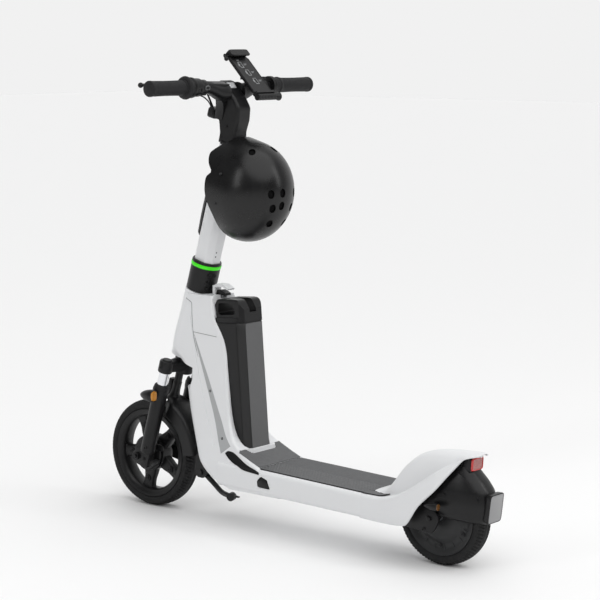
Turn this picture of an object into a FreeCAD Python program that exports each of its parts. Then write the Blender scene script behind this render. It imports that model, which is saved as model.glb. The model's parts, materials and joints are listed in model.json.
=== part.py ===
import FreeCAD, Part
import math
import os
from FreeCAD import Vector

# Electric kick scooter with a lift-out battery, a helmet carried behind the stem and a phone holder.
# Millimetres.  +X is forward, +Y is the rider's left, +Z is up.  The wheels stand on Z = 0.

# ---- driving dimensions -------------------------------------------------------------------
WHEELBASE = 984.0
REAR_AXLE_X = -488.0
FRONT_TYRE_R = 149.0
FRONT_TYRE_HALF = 28.0
REAR_TYRE_R = 127.0
REAR_TYRE_HALF = 27.0
HEAD_ANGLE = 16.5          # steering axis, degrees back from upright
FORK_OFFSET = 34.6         # front axle ahead of the steering axis
FORK_TRAVEL = 25.0
BAR_WIDTH = 632.0
BAR_LEVEL = 1202.5         # bar centre, along the steering axis from the ground
BAR_FORWARD = 44.3         # bar centre ahead of the steering axis
BAR_DROP = 14.0            # the bar's middle sits this much lower than its ends
BAR_R = 11.0
GRIP_R = 17.5
GRIP_LENGTH = 131.0
STEERER_R = 15.0
HEAD_TUBE_R = 41.0
HEAD_BOTTOM = 455.0        # along the steering axis
HEAD_TOP = 646.0
COLLAR_R = 40.0
COLLAR_TOP = 731.0
STEM_DEPTH = 65.0
STEM_WIDTH = 60.0
STEM_TOP = 1055.0
STEM_WALL = 3.0
LEG_SPACING = 65.0         # fork leg centres, each side of the middle
LEG_X = 8.0
STANCHION_R = 14.0
SLIDER_R = 20.5
SLIDER_TOP = 360.0
CROWN_BOTTOM = 406.0
CROWN_TOP = 446.0
DECK_HALF = 101.8
DECK_RISE = 1.9            # degrees, the deck climbs towards the front
DECK_TOP_AT_REAR = 164.0   # top of the deck at DECK_REAR_X
DECK_REAR_X = -373.0
DECK_DEPTH = 61.0
DECK_FLOOR = 107.0         # inside of the deck's underside, before the deck is tipped to its slope
TAIL_FRONT_X = -300.0
DROPOUT_Y = 59.0           # inner faces of the rear dropout plates
FRAME_WALL = 3.0
BATTERY_HALF = 50.0
BATTERY_DEPTH = 92.0
BATTERY_LEAN = 4.2
BATTERY_FOOT_X = 106.3     # rear face at the foot
BATTERY_FOOT_Z = 184.0
BATTERY_LENGTH = 366.0     # case only, the handle cap stands on it
BATTERY_CHAMFER = 15.0
CAP_HEIGHT = 62.0
POCKET_GAP = 1.2           # battery to its dock
TILT_X = 103.5             # line the battery tilts about, just inside the tray's rear lip
TILT_Z = 216.5
TILT_HALF = 30.0
TILT_SEAT_R = 1.5          # rounded seat in the lip for the battery's foot
STAND_X = 275.0            # kickstand pivot
STAND_Y = 44.0
STAND_Z = 131.0
HOLDER_Y = -50.0           # middle of the phone holder
HOLDER_TILT = 46.0
HELMET_HALF_WIDTH = 108.0
HELMET_HALF_LENGTH = 134.0
HELMET_DEPTH = 134.0
HELMET_LEVEL = 958.0       # along the steering axis
HELMET_BACK = 89.0         # behind the steering axis
HELMET_WALL = 4.0
AXLE_R = 6.0
AXLE_END_R = 5.8           # turned-down end past the nut
NUT_REVEAL = 0.3           # full-size axle that shows past the nut
RUN_FIT = 0.05             # radial running clearance
BODY_GAP = 0.5             # air between parts that move past each other

FRONT_AXLE_X = REAR_AXLE_X + WHEELBASE
TAN_HEAD = math.tan(math.radians(HEAD_ANGLE))
COS_HEAD = math.cos(math.radians(HEAD_ANGLE))
SIN_HEAD = math.sin(math.radians(HEAD_ANGLE))
STEER_GROUND_X = FRONT_AXLE_X + FRONT_TYRE_R * TAN_HEAD - FORK_OFFSET / COS_HEAD
AXLE_LEVEL = -SIN_HEAD * (FRONT_AXLE_X - STEER_GROUND_X) + COS_HEAD * FRONT_TYRE_R
BAR_END = BAR_WIDTH / 2
X_AXIS = Vector(1, 0, 0)
Y_AXIS = Vector(0, 1, 0)
Z_AXIS = Vector(0, 0, 1)
nodes = {}


# ---- helpers ------------------------------------------------------------------------------
def rod(x, y, z, axis, radius, length):
    return Part.makeCylinder(radius, length, Vector(x, y, z), axis)


def ring(x, y, z, axis, outer, inner, length):
    return rod(x, y, z, axis, outer, length).cut(rod(x, y, z, axis, inner, length))


def block(x0, x1, y0, y1, z0, z1):
    return Part.makeBox(x1 - x0, y1 - y0, z1 - z0, Vector(x0, y0, z0))


def soft_block(x0, x1, y0, y1, z0, z1, radius):
    shape = block(x0, x1, y0, y1, z0, z1)
    return shape.makeFillet(radius, shape.Edges)


def rounded_wire(points, radii):
    """Closed outline with an arc at every corner whose radius is not nought."""
    count = len(points)
    if not isinstance(radii, (list, tuple)):
        radii = [radii] * count
    starts, ends, mids = [], [], []
    for i in range(count):
        here, before, after = points[i], points[i - 1], points[(i + 1) % count]
        to_before = (before - here).normalize()
        to_after = (after - here).normalize()
        half = to_before.getAngle(to_after) / 2
        reach = radii[i] / math.tan(half) if radii[i] else 0.0
        starts.append(here + to_before * reach)
        ends.append(here + to_after * reach)
        inward = to_before + to_after
        middle = here
        if radii[i]:
            middle = here + inward.normalize() * (radii[i] / math.sin(half) - radii[i])
        mids.append(middle)
    edges = []
    for i in range(count):
        if radii[i]:
            edges.append(Part.Arc(starts[i], mids[i], ends[i]).toShape())
        following = starts[(i + 1) % count]
        if (following - ends[i]).Length > 1e-6:
            edges.append(Part.LineSegment(ends[i], following).toShape())
    return Part.Wire(edges)


def side_plate(outline, y0, y1, radii=0):
    """Outline given as (x, z), filled from y0 to y1."""
    wire = rounded_wire([Vector(x, y0, z) for x, z in outline], radii)
    return Part.Face(wire).extrude(Vector(0, y1 - y0, 0))


def flat_plate(outline, z0, z1, radii=0):
    """Outline given as (x, y), filled from z0 to z1."""
    wire = rounded_wire([Vector(x, y, z0) for x, y in outline], radii)
    return Part.Face(wire).extrude(Vector(0, 0, z1 - z0))


def spun(outline, x, z):
    """Outline given as (radius, y), turned about the axle line through (x, z)."""
    points = [Vector(x + r, y, z) for r, y in outline]
    face = Part.Face(Part.makePolygon(points + [points[0]]))
    return face.revolve(Vector(x, 0, z), Y_AXIS, 360)


def mirrored(shape):
    return shape.mirror(Vector(0, 0, 0), Y_AXIS)


def both_sides(shape):
    return Part.makeCompound([shape, mirrored(shape)])


def fused(first, *others):
    return first.fuse(list(others)).removeSplitter()


def steered(shape):
    """Takes a shape drawn about an upright steering axis to its raked place."""
    copy = shape.copy()
    copy.rotate(Vector(0, 0, 0), Y_AXIS, -HEAD_ANGLE)
    copy.translate(Vector(STEER_GROUND_X, 0, 0))
    return copy


def steered_point(x, y, level):
    world_x = STEER_GROUND_X + COS_HEAD * x - SIN_HEAD * level
    return Vector(world_x, y, SIN_HEAD * x + COS_HEAD * level)


def leaned(shape):
    """Takes a shape drawn upright on the battery's foot to its leaning place."""
    copy = shape.copy()
    copy.rotate(Vector(0, 0, 0), Y_AXIS, BATTERY_LEAN)
    copy.translate(Vector(BATTERY_FOOT_X, 0, BATTERY_FOOT_Z))
    return copy


def softened(shape, radius, pick):
    """Fillets the picked edges, each limited by what the wall allows."""
    edges = [edge for edge in shape.Edges if pick(edge)]
    return shape.makeFillet(radius, edges) if edges else shape


def between(rows, steps):
    """Rows of measures with more rows between them, on monotone cubics through each column."""
    columns = list(zip(*rows))
    stations = columns[0]
    gaps = [b - a for a, b in zip(stations, stations[1:])]
    slopes = []
    for column in columns:
        secants = [(b - a) / gap for a, b, gap in zip(column, column[1:], gaps)]
        inner = [0.0 if a * b <= 0 else 2 * a * b / (a + b) for a, b in zip(secants, secants[1:])]
        slopes.append([secants[0]] + inner + [secants[-1]])
    result = []
    for i, gap in enumerate(gaps):
        for step in range(steps):
            t = step / steps
            row = []
            for column, slope in zip(columns, slopes):
                row.append((2 * t ** 3 - 3 * t ** 2 + 1) * column[i] + (t ** 3 - 2 * t ** 2 + t) * gap * slope[i]
                           + (3 * t ** 2 - 2 * t ** 3) * column[i + 1] + (t ** 3 - t ** 2) * gap * slope[i + 1])
            result.append(row)
    result.append(list(rows[-1]))
    return result


def cable(points, radius):
    """Tube along straight runs joined by tangent arcs, as large as the runs allow."""
    points = [Vector(*p) for p in points]
    edges = []
    last = points[0]
    for i in range(1, len(points) - 1):
        before = points[i - 1] - points[i]
        after = points[i + 1] - points[i]
        reach = 0.45 * min(before.Length, after.Length)
        half = before.getAngle(after) / 2
        bend = reach * math.tan(half)
        print("cable bend radius %.1f" % bend)
        before.normalize()
        after.normalize()
        start = points[i] + before * reach
        end = points[i] + after * reach
        bisector = (before + after).normalize()
        middle = points[i] + bisector * (bend / math.sin(half) - bend)
        edges.append(Part.LineSegment(last, start).toShape())
        edges.append(Part.Arc(start, middle, end).toShape())
        last = end
    edges.append(Part.LineSegment(last, points[-1]).toShape())
    path = Part.Wire(edges)
    heading = (points[1] - points[0]).normalize()
    section = Part.Wire([Part.makeCircle(radius, points[0], heading)])
    return path.makePipeShell([section], True, True)


def coil(x, y, z, axis, radius, wire_r, pitch, turns):
    """Compression spring standing at (x, y, z) along the axis."""
    helix = Part.makeHelix(pitch, pitch * turns, radius)
    section = Part.Wire([Part.makeCircle(wire_r, Vector(radius, 0, 0), Y_AXIS)])
    spring = Part.Wire(helix).makePipeShell([section], True, True)
    turn = FreeCAD.Rotation(Z_AXIS, axis)
    spring.Placement = FreeCAD.Placement(Vector(x, y, z), turn)
    return spring


# ---- wheels -------------------------------------------------------------------------------
def tyre(x, z, outer, half, rim_r):
    """Hollow tubeless tyre: tread, sidewalls and two beads on the rim."""
    wall = 5.0
    bead_half = half - 5.0
    side_r = (outer + rim_r) / 2
    shoulder = outer - 9.0
    outside = [(rim_r, -bead_half), (rim_r + 6, -bead_half), (side_r, -half), (shoulder, -half + 4), (outer - 2, -half + 15),
               (outer, 0), (outer - 2, half - 15), (shoulder, half - 4), (side_r, half),
               (rim_r + 6, bead_half), (rim_r, bead_half)]
    inside = [(rim_r, bead_half - wall), (side_r, half - wall), (shoulder - wall, half - wall - 4),
              (outer - wall - 2, 0), (shoulder - wall, -half + wall + 4), (side_r, -half + wall),
              (rim_r, -bead_half + wall)]
    return spun(outside + inside, x, z)


def front_wheel():
    x, z = FRONT_AXLE_X, FRONT_TYRE_R
    rim_r = 118.0
    opening_r = 108.0
    hub_r = 50.0
    half = FRONT_TYRE_HALF - 5.0
    nodes["front_tyre"] = tyre(x, z, FRONT_TYRE_R, FRONT_TYRE_HALF, rim_r)
    rim = spun([(opening_r, -half + 3), (rim_r + 5, -half - 2.5), (rim_r + 5, -half - 0.2), (rim_r, -half - 0.2),
                (rim_r, half + 0.2), (rim_r + 5, half + 0.2), (rim_r + 5, half + 2.5), (opening_r, half - 3),
                (opening_r + 4, 0)], x, z)
    tyre_room = spun([(rim_r, -half), (rim_r + 12, -half), (rim_r + 12, half), (rim_r, half)], x, z)
    hub = rod(x, -26, z, Y_AXIS, hub_r, 46)
    drum_room = rod(x, 0, z, Y_AXIS, hub_r - 5, 25)
    shape = rim.cut(tyre_room).fuse(hub.cut(drum_room))
    spoke_count = 5
    for i in range(spoke_count):
        arm = side_plate([(hub_r - 4, -22), (opening_r + 3, -14), (opening_r + 3, 14), (hub_r - 4, 22)],
                         -13, 13)
        boss = rod((hub_r + opening_r) / 2, -15, 0, Y_AXIS, 9, 30)
        arm = arm.fuse(boss)
        arm.rotate(Vector(0, 0, 0), Y_AXIS, -(67 + 360.0 / spoke_count * i))
        arm.translate(Vector(x, 0, z))
        shape = shape.fuse(arm)
    bearing_r = 14.0
    shape = shape.cut(rod(x, -40, z, Y_AXIS, bearing_r, 80))
    nodes["front_rim"] = shape.removeSplitter()
    bearings = [ring(x, y, z, Y_AXIS, bearing_r, AXLE_R + RUN_FIT, 8) for y in (-24, -10)]
    nodes["front_wheel_bearings"] = Part.makeCompound(bearings)


def rear_wheel():
    x, z = REAR_AXLE_X, REAR_TYRE_R
    rim_r = 96.0
    motor_r = 70.0
    half = REAR_TYRE_HALF - 5.0
    bearing_r = 14.0
    nodes["rear_tyre"] = tyre(x, z, REAR_TYRE_R, REAR_TYRE_HALF, rim_r)
    hub = spun([(bearing_r, -27), (motor_r - 14, -27), (motor_r, -20), (motor_r + 12, -14), (rim_r - 8, -half),
                (rim_r + 5, -half - 2.5), (rim_r + 5, -half - 0.2), (rim_r, -half - 0.2),
                (rim_r, half + 0.2), (rim_r + 5, half + 0.2), (rim_r + 5, half + 2.5), (rim_r - 8, half),
                (motor_r + 12, 14), (motor_r, 20), (motor_r - 14, 27), (bearing_r, 27)], x, z)
    room = spun([(0, -17), (motor_r - 6, -17), (motor_r - 6, 17), (0, 17)], x, z)
    hub = hub.cut(room)
    tyre_room = spun([(rim_r, -half), (rim_r + 12, -half), (rim_r + 12, half), (rim_r, half)], x, z)
    nodes["rear_motor_hub"] = hub.cut(tyre_room)
    stator = spun([(9, -14), (motor_r - 8, -14), (motor_r - 8, 14), (9, 14)], x, z)
    nodes["motor_stator"] = stator
    bearings = [ring(x, y, z, Y_AXIS, bearing_r, AXLE_R + RUN_FIT, 8) for y in (-26, 18)]
    nodes["rear_wheel_bearings"] = Part.makeCompound(bearings)


# ---- fork, steerer and front fender -------------------------------------------------------
def fork():
    slit = 2.0
    bridge = 17.0
    legs = [rod(LEG_X, side * LEG_SPACING, CROWN_BOTTOM, Z_AXIS, STANCHION_R + 5, CROWN_TOP - CROWN_BOTTOM - 6)
            for side in (-1, 1)]
    beam = block(LEG_X - bridge, LEG_X + bridge, -LEG_SPACING, LEG_SPACING, CROWN_BOTTOM + 4, CROWN_TOP - 8)
    boss = rod(0, 0, CROWN_BOTTOM + 2, Z_AXIS, STEERER_R + 13, CROWN_TOP - CROWN_BOTTOM + 2)
    crown = fused(beam, legs[0], legs[1], boss)
    crown = crown.cut(rod(0, 0, CROWN_BOTTOM, Z_AXIS, STEERER_R, 100))
    for side in (-1, 1):
        crown = crown.cut(rod(LEG_X, side * LEG_SPACING, CROWN_BOTTOM - 1, Z_AXIS, STANCHION_R, 32))
        far = side * (LEG_SPACING + STANCHION_R + 8)
        crown = crown.cut(block(LEG_X - slit / 2, LEG_X + slit / 2, min(side * LEG_SPACING, far),
                                max(side * LEG_SPACING, far), CROWN_BOTTOM - 1, CROWN_BOTTOM + 31))
    steerer = ring(0, 0, CROWN_BOTTOM + 2, Z_AXIS, STEERER_R, STEERER_R - 3, COLLAR_TOP - CROWN_BOTTOM - 12)
    nodes["fork_crown_and_steerer"] = steered(fused(crown, steerer))
    bearing_h = 9.0
    race = HEAD_TUBE_R - 12
    bearings = [ring(0, 0, level, Z_AXIS, race, STEERER_R + RUN_FIT, bearing_h)
                for level in (HEAD_BOTTOM + 3, HEAD_TOP - bearing_h - 3)]
    nodes["headset_bearings"] = steered(Part.makeCompound(bearings))

    stanchion_low = 236.0
    stanchion = ring(LEG_X, LEG_SPACING, stanchion_low, Z_AXIS, STANCHION_R, STANCHION_R - 2.5,
                     CROWN_BOTTOM + 31 - stanchion_low)
    nodes["fork_stanchions"] = steered(both_sides(stanchion))

    foot = AXLE_LEVEL - 14
    bore_low = AXLE_LEVEL + 32
    slider = rod(LEG_X, LEG_SPACING, foot + 24, Z_AXIS, SLIDER_R, SLIDER_TOP - foot - 24)
    dropout = block(LEG_X - 12, FORK_OFFSET + 16, LEG_SPACING - 9, LEG_SPACING + 9, foot, AXLE_LEVEL + 52)
    dropout = dropout.makeFillet(6, [e for e in dropout.Edges if abs(e.tangentAt(0).y) > 0.9])
    slider = slider.fuse(dropout)
    slider = slider.cut(rod(LEG_X, LEG_SPACING, bore_low, Z_AXIS, STANCHION_R + RUN_FIT, 300))
    slider = slider.cut(rod(FORK_OFFSET, LEG_SPACING - 40, AXLE_LEVEL, Y_AXIS, AXLE_R, 80))
    nodes["fork_sliders"] = steered(both_sides(slider))
    spring_turns = 7.0
    spring_gap = stanchion_low - bore_low
    spring = coil(LEG_X, LEG_SPACING, bore_low + 2, Z_AXIS, STANCHION_R - 3, 1.6,
                  (spring_gap - 4) / spring_turns, spring_turns)
    nodes["fork_springs"] = steered(both_sides(spring))

    stalk_x = 9.5
    stalk_r = 10.5
    inner_r = FRONT_TYRE_R + FORK_TRAVEL + 9
    outer_r = inner_r + 4
    skirt_r = 146.0
    fender_half = 40.0
    section = [(skirt_r, -fender_half), (outer_r - 16, -fender_half), (outer_r - 4, -fender_half + 8),
               (outer_r + 2, -14), (outer_r + 3, 0), (outer_r + 2, 14), (outer_r - 4, fender_half - 8),
               (outer_r - 16, fender_half), (skirt_r, fender_half), (skirt_r, fender_half - 3),
               (inner_r - 15, fender_half - 3), (inner_r - 5, fender_half - 11), (inner_r, 0),
               (inner_r - 5, -fender_half + 11), (inner_r - 15, -fender_half + 3),
               (skirt_r, -fender_half + 3)]
    x, z = FRONT_AXLE_X, FRONT_TYRE_R
    points = [Vector(x + r, y, z) for r, y in section]
    face = Part.Face(Part.makePolygon(points + [points[0]]))
    sweep_start = 116.0
    sweep_end = 175.0
    shell = face.revolve(Vector(x, 0, z), Y_AXIS, -(sweep_end - sweep_start))
    shell.rotate(Vector(x, 0, z), Y_AXIS, -sweep_start)
    stalk = steered(rod(stalk_x, 0, CROWN_BOTTOM - 34, Z_AXIS, stalk_r, 38))
    flare_top = Part.Wire([Part.makeCircle(stalk_r, Vector(stalk_x, 0, CROWN_BOTTOM - 33), Z_AXIS)])
    flare_mid = Part.Wire([Part.makeCircle(stalk_r + 7, Vector(stalk_x + 1, 0, CROWN_BOTTOM - 62), Z_AXIS)])
    flare_low = Part.Wire([Part.makeCircle(stalk_r + 19, Vector(stalk_x - 2, 0, CROWN_BOTTOM - 88), Z_AXIS)])
    flare = steered(Part.makeLoft([flare_top, flare_mid, flare_low], True))
    flare = flare.cut(rod(x, -60, z, Y_AXIS, inner_r + 2, 120))
    nodes["front_fender"] = fused(shell, flare, stalk)
    nodes["fork_crown_and_steerer"] = biggest(nodes["fork_crown_and_steerer"].cut(nodes["front_fender"]))

    shank = LEG_SPACING + 16 + NUT_REVEAL
    axle = fused(rod(x, -shank, z, Y_AXIS, AXLE_R, 2 * shank),
                 rod(x, -LEG_SPACING - 20, z, Y_AXIS, AXLE_END_R, 2 * LEG_SPACING + 40))
    nuts = [ring(x, y, z, Y_AXIS, 11, AXLE_R, 7) for y in (-LEG_SPACING - 16, LEG_SPACING + 9)]
    nodes["front_axle"] = Part.makeCompound([axle] + nuts)


def front_brake_and_signals():
    x, z = FRONT_AXLE_X, FRONT_TYRE_R
    plate = ring(x, 27, z, Y_AXIS, 49, AXLE_R, 6)
    plate = plate.fuse(ring(x, 33, z, Y_AXIS, 22, AXLE_R, 8))
    stay = block(x - 62, x - 20, 33, 38, z + 14, z + 30)
    bolt_count = 5
    for i in range(bolt_count):
        turn = 2 * math.pi * i / bolt_count
        plate = plate.fuse(rod(x + 38 * math.cos(turn), 32, z + 38 * math.sin(turn), Y_AXIS, 4, 4))
    plate = plate.fuse(stay).removeSplitter()
    arm_pivot_x, arm_pivot_z = x - 4, z - 36
    arm = side_plate([(arm_pivot_x - 8, arm_pivot_z - 9), (arm_pivot_x + 8, arm_pivot_z - 9),
                      (arm_pivot_x + 6, arm_pivot_z + 2), (arm_pivot_x - 40, arm_pivot_z + 26),
                      (arm_pivot_x - 46, arm_pivot_z + 20)], 36.5, 40.5)
    arm = arm.cut(rod(arm_pivot_x, 30, arm_pivot_z, Y_AXIS, 4, 20))
    nodes["front_brake_arm"] = arm
    cam = rod(arm_pivot_x, 33.2, arm_pivot_z, Y_AXIS, 4 - RUN_FIT, 11)
    nodes["front_brake_plate"] = fused(plate, cam)

    signal_y = 103.0
    signal_level = 346.0
    centre = steered_point(LEG_X, signal_y, signal_level)
    housings, lenses = signal_pair(centre.x - 12, signal_y, centre.z, 50.0, 12.5, 17.0)
    stalk = steered(rod(LEG_X, LEG_SPACING + SLIDER_R - 3, signal_level, Y_AXIS, 7, signal_y - LEG_SPACING - SLIDER_R))
    stalk = both_sides(stalk).cut(nodes["fork_sliders"])
    housings = housings.cut(stalk)
    nodes["front_signal_housings"] = fused(housings, stalk).cut(lenses)
    nodes["front_signal_lenses"] = lenses


def signal_pair(lens_x, y, z, length, half_width, half_height):
    """Bullet-shaped turn signals, nose forward and lens to the rear."""
    stations = [(0.0, 0.94), (0.14, 1.0), (0.45, 0.92), (0.75, 0.66), (0.93, 0.34), (1.0, 0.1)]
    wires = []
    for along, share in stations:
        centre = Vector(lens_x + length * along, y, z)
        wide = half_width * share
        high = half_height * share
        if high > wide:
            curve = Part.Ellipse(centre + Vector(0, 0, high), centre + Vector(0, wide, 0), centre)
        else:
            curve = Part.Ellipse(centre + Vector(0, wide, 0), centre + Vector(0, 0, high), centre)
        wires.append(Part.Wire([curve.toShape()]))
    housing = Part.makeLoft(wires, True)
    lens_wire = Part.Ellipse(Vector(lens_x - 2, y, z + half_height * 0.8),
                             Vector(lens_x - 2, y + half_width * 0.8, z), Vector(lens_x - 2, y, z))
    lens = Part.Face(Part.Wire([lens_wire.toShape()])).extrude(Vector(5, 0, 0))
    housing = housing.cut(lens)
    return both_sides(housing), both_sides(lens)


# ---- main frame, deck and tail ------------------------------------------------------------
def deck_top(x):
    return DECK_TOP_AT_REAR + (x - DECK_REAR_X) * math.tan(math.radians(DECK_RISE))


def column_shape(inset=0.0):
    """Column from the head tube down to the deck: rounded slices, widening downwards."""
    stations = [(612, 352, 238, 46), (560, 366, 226, 54), (500, 385, 192, 55.5), (462, 392, 182, 56),
                (425, 352, 179, 57.5), (370, 336, 173, 60), (300, 321, 164, 64), (245, 300, 146, 73),
                (205, 278, 96, 86), (170, 256, 20, 97), (135, 214, -20, 100), (112, 160, -40, 96)]
    slices = []
    for z, front, rear, half in between(stations, 3):
        front, rear, half = front - inset, rear + inset, half - inset
        corners = [Vector(front, half, z), Vector(rear, half, z), Vector(rear, -half, z), Vector(front, -half, z)]
        front_round = min(34.0, half - 8)
        slices.append(rounded_wire(corners, [front_round, 8, 8, front_round]))
    return Part.makeLoft(slices, True, True)


def battery_prism(grow, low, high):
    """Battery outline grown by a gap, between two heights above the foot."""
    half = BATTERY_HALF + grow
    cut = BATTERY_CHAMFER
    outline = [(-grow, -half + cut), (-grow, half - cut), (cut - grow, half), (BATTERY_DEPTH + grow, half),
               (BATTERY_DEPTH + grow, -half), (cut - grow, -half)]
    return flat_plate(outline, low, high, 3)


def main_frame():
    front_end = 175.0
    deck = side_plate([(front_end, deck_top(front_end)), (TAIL_FRONT_X, deck_top(TAIL_FRONT_X)),
                       (TAIL_FRONT_X, deck_top(TAIL_FRONT_X) - DECK_DEPTH),
                       (front_end, deck_top(front_end) - DECK_DEPTH - 3)], -DECK_HALF, DECK_HALF)
    long_edges = lambda e: abs(e.tangentAt(e.FirstParameter).x) > 0.95 and e.Length > 300
    deck = softened(deck, 12.0, long_edges)
    column = column_shape()
    head = steered(rod(0, 0, HEAD_BOTTOM, Z_AXIS, HEAD_TUBE_R, HEAD_TOP - HEAD_BOTTOM))
    arm = side_plate([(TAIL_FRONT_X + 1, 108), (TAIL_FRONT_X + 1, 156), (-400, 156), (-448, 152), (-440, 120),
                      (-405, 106)], DROPOUT_Y - 13, DROPOUT_Y, [0, 0, 0, 8, 8, 8])
    frame = column.fuse([deck, head, arm, mirrored(arm)]).cut(frame_cavity())
    frame = frame.cut(battery_space(POCKET_GAP, -2, 520))
    cap_room = side_plate([(238, 640), (238, 598), (226, 574), (222, 548), (205, 530), (60, 505), (60, 640)],
                          -80, 80, [0, 8, 20, 20, 12, 0, 0])
    frame = frame.cut(cap_room)
    steerer_bore = steered(rod(0, 0, HEAD_BOTTOM - 40, Z_AXIS, STEERER_R + 4, 300))
    races = steered(Part.makeCompound([rod(0, 0, HEAD_BOTTOM - 60, Z_AXIS, HEAD_TUBE_R - 12, 72),
                                       rod(0, 0, HEAD_TOP - 12, Z_AXIS, HEAD_TUBE_R - 12, 20)]))
    frame = frame.cut(steerer_bore).cut(races)
    collar_room = steered(rod(0, 0, HEAD_TOP, Z_AXIS, COLLAR_R + 2, 60))
    latch_room = block(232, 262, -12, 12, 603, 640)
    frame = frame.cut(collar_room).cut(latch_room)
    crown_room = steered(Part.makeCylinder(105, 60, Vector(0, 0, HEAD_BOTTOM - 60), Z_AXIS))
    return frame.cut(crown_room.common(block(300, 600, -130, 130, 300, 600)))


def battery_space(gap, low, high):
    """Room the battery takes up with a gap round it, with the deeper part in front of its foot."""
    half = BATTERY_HALF + gap
    foot = block(BATTERY_DEPTH - 1, BATTERY_DEPTH + 10 + gap, -half, half, low, 60)
    return leaned(battery_prism(gap, low, high).fuse(foot))


def frame_cavity():
    """The hollow inside the deck and the column, short of the battery dock, the tray and the head tube."""
    deck_room = block(TAIL_FRONT_X + FRAME_WALL, 60, -DECK_HALF + 7, DECK_HALF - 7, DECK_FLOOR, 159)
    deck_room = on_deck(deck_room)
    column_room = column_shape(FRAME_WALL).common(block(-100, 400, -120, 120, 118, 585))
    column_room = column_room.cut(steered(rod(0, 0, HEAD_BOTTOM - 150, Z_AXIS, HEAD_TUBE_R - 8, 400)))
    cavity = deck_room.fuse(column_room)
    cavity = cavity.cut(battery_space(POCKET_GAP + FRAME_WALL, -20, 520))
    cavity = cavity.cut(block(88, 224, -66, 66, 165, 225))
    cavity = cavity.cut(block(-50, 245, -120, 120, 340, 600))
    head = rod(0, 0, HEAD_BOTTOM - 60 - FRAME_WALL, Z_AXIS, 105 + FRAME_WALL, 60 + 2 * FRAME_WALL)
    return cavity.cut(steered(head))


def on_deck(shape):
    """Tips a level shape to the deck's slope."""
    shape.rotate(Vector(DECK_REAR_X, 0, DECK_TOP_AT_REAR), Y_AXIS, -DECK_RISE)
    return shape


def cut_grooves(frame):
    """Shallow tapering groove down each flank."""
    groove = side_plate([(312, 560), (296, 506), (281, 446), (262, 395), (216, 275), (188, 222), (208, 216),
                         (246, 300), (276, 395), (290, 446), (301, 506)], 50, 120, 0)
    skin = column_shape()
    inner = skin.copy()
    depth = 1.2
    matrix = FreeCAD.Matrix()
    matrix.scale(1.0, (60 - depth) / 60, 1.0)
    inner = inner.transformGeometry(matrix)
    strip = groove.cut(inner)
    frame = frame.cut(strip).cut(mirrored(strip))
    return frame


def tail_slices(inset, reach_down):
    """Kick-up tail: a band that climbs over the rear wheel, with a pillow-shaped foot rest on it."""
    stations = [(-300, 100, 104, 165, 168, 60), (-345, 100.5, 103, 166, 186, 64), (-390, 100, 102, 172, 246, 64),
                (-430, 96, 103, 190, 274, 64), (-470, 90, 157, 216, 286, 62), (-510, 80, 199, 247, 291, 56),
                (-550, 64, 240, 274, 293, 46), (-602, 40, 280, 292, 294, 28)]
    slices = []
    for x, half, low, band, crest, pillow in between(stations, 3):
        half, low, band = half - inset, low - reach_down, band - inset
        crest, pillow = crest - inset, pillow - inset
        swell = crest - band
        top = [(half, band - 8), (half - 5, band - 1.5), ((half + pillow) / 2, band), (pillow, band + swell * 0.12),
               (pillow * 0.8, band + swell * 0.62), (pillow * 0.45, band + swell * 0.95), (0, crest)]
        points = [Vector(x, half, low)] + [Vector(x, y, z) for y, z in top]
        points += [Vector(x, -point.y, point.z) for point in reversed(points[:-1])]
        slices.append(Part.makePolygon(points + [points[0]]))
    return Part.makeLoft(slices, True, True)


def tail_shape():
    """The tail as a shell, open below over the wheel and solid at its front end."""
    room = tail_slices(FRAME_WALL, 12).common(block(-588, TAIL_FRONT_X - 40, -120, 120, 60, 320))
    return tail_slices(0.0, 0.0).cut(room)


def deck_and_tail():
    frame = main_frame()
    frame = cut_grooves(frame)
    tail = tail_shape()
    tail = tail.cut(frame)

    tray_gap = 0.8
    tray_top = 216.0
    tray_rear = BATTERY_FOOT_X - 8.5
    tray = flat_plate([(tray_rear, -47), (tray_rear, 47), (tray_rear + 18, 60), (215, 60), (215, -60),
                       (tray_rear + 18, -60)], 172, tray_top, [10, 10, 6, 0, 0, 6])
    tray = tray.cut(battery_space(tray_gap, -2, 400))
    nodes["battery_tray"] = tray.cut(rod(TILT_X, -TILT_HALF, TILT_Z, Y_AXIS, TILT_SEAT_R, 2 * TILT_HALF))
    frame = frame.cut(tray)

    mat_thick = 3.0
    wing = side_plate([(70, 172), (112, deck_top(112) + mat_thick), (140, 196), (166, 214), (172, 208),
                       (146, 180), (100, 165)], 62, 84, [0, 0, 30, 3, 3, 30, 0])
    sheet = side_plate([(108, deck_top(108) - 1), (108, deck_top(108) + mat_thick),
                        (-312, deck_top(-312) + mat_thick), (-312, deck_top(-312) - 1)], -110, 110)
    outline = flat_plate([(108, -84), (108, 84), (-288, 84), (-312, 70), (-290, 44), (-270, 0), (-290, -44),
                          (-312, -70), (-288, -84)], 140, 220, [6, 6, 8, 8, 20, 30, 20, 8, 8])
    mat = sheet.common(outline).cut(tray).cut(tail)
    mat = fused(mat, wing, mirrored(wing)).cut(tray)
    frame = frame.cut(mat)
    nodes["deck_mat"] = mat
    nodes["tail_cover"] = tail

    port = side_plate([(33, 134), (36, 150), (22, 163), (2, 156), (-8, 133)], DECK_HALF - 5, DECK_HALF + 1.0,
                      [4, 5, 6, 6, 4])
    frame = frame.cut(port)
    nodes["charge_port_cover"] = port
    nodes["main_frame"] = biggest(frame)

    nodes["controller"] = on_deck(block(-285, -165, -42, 42, DECK_FLOOR, DECK_FLOOR + 27))


def biggest(shape):
    return max(shape.Solids, key=lambda solid: solid.Volume)


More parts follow.
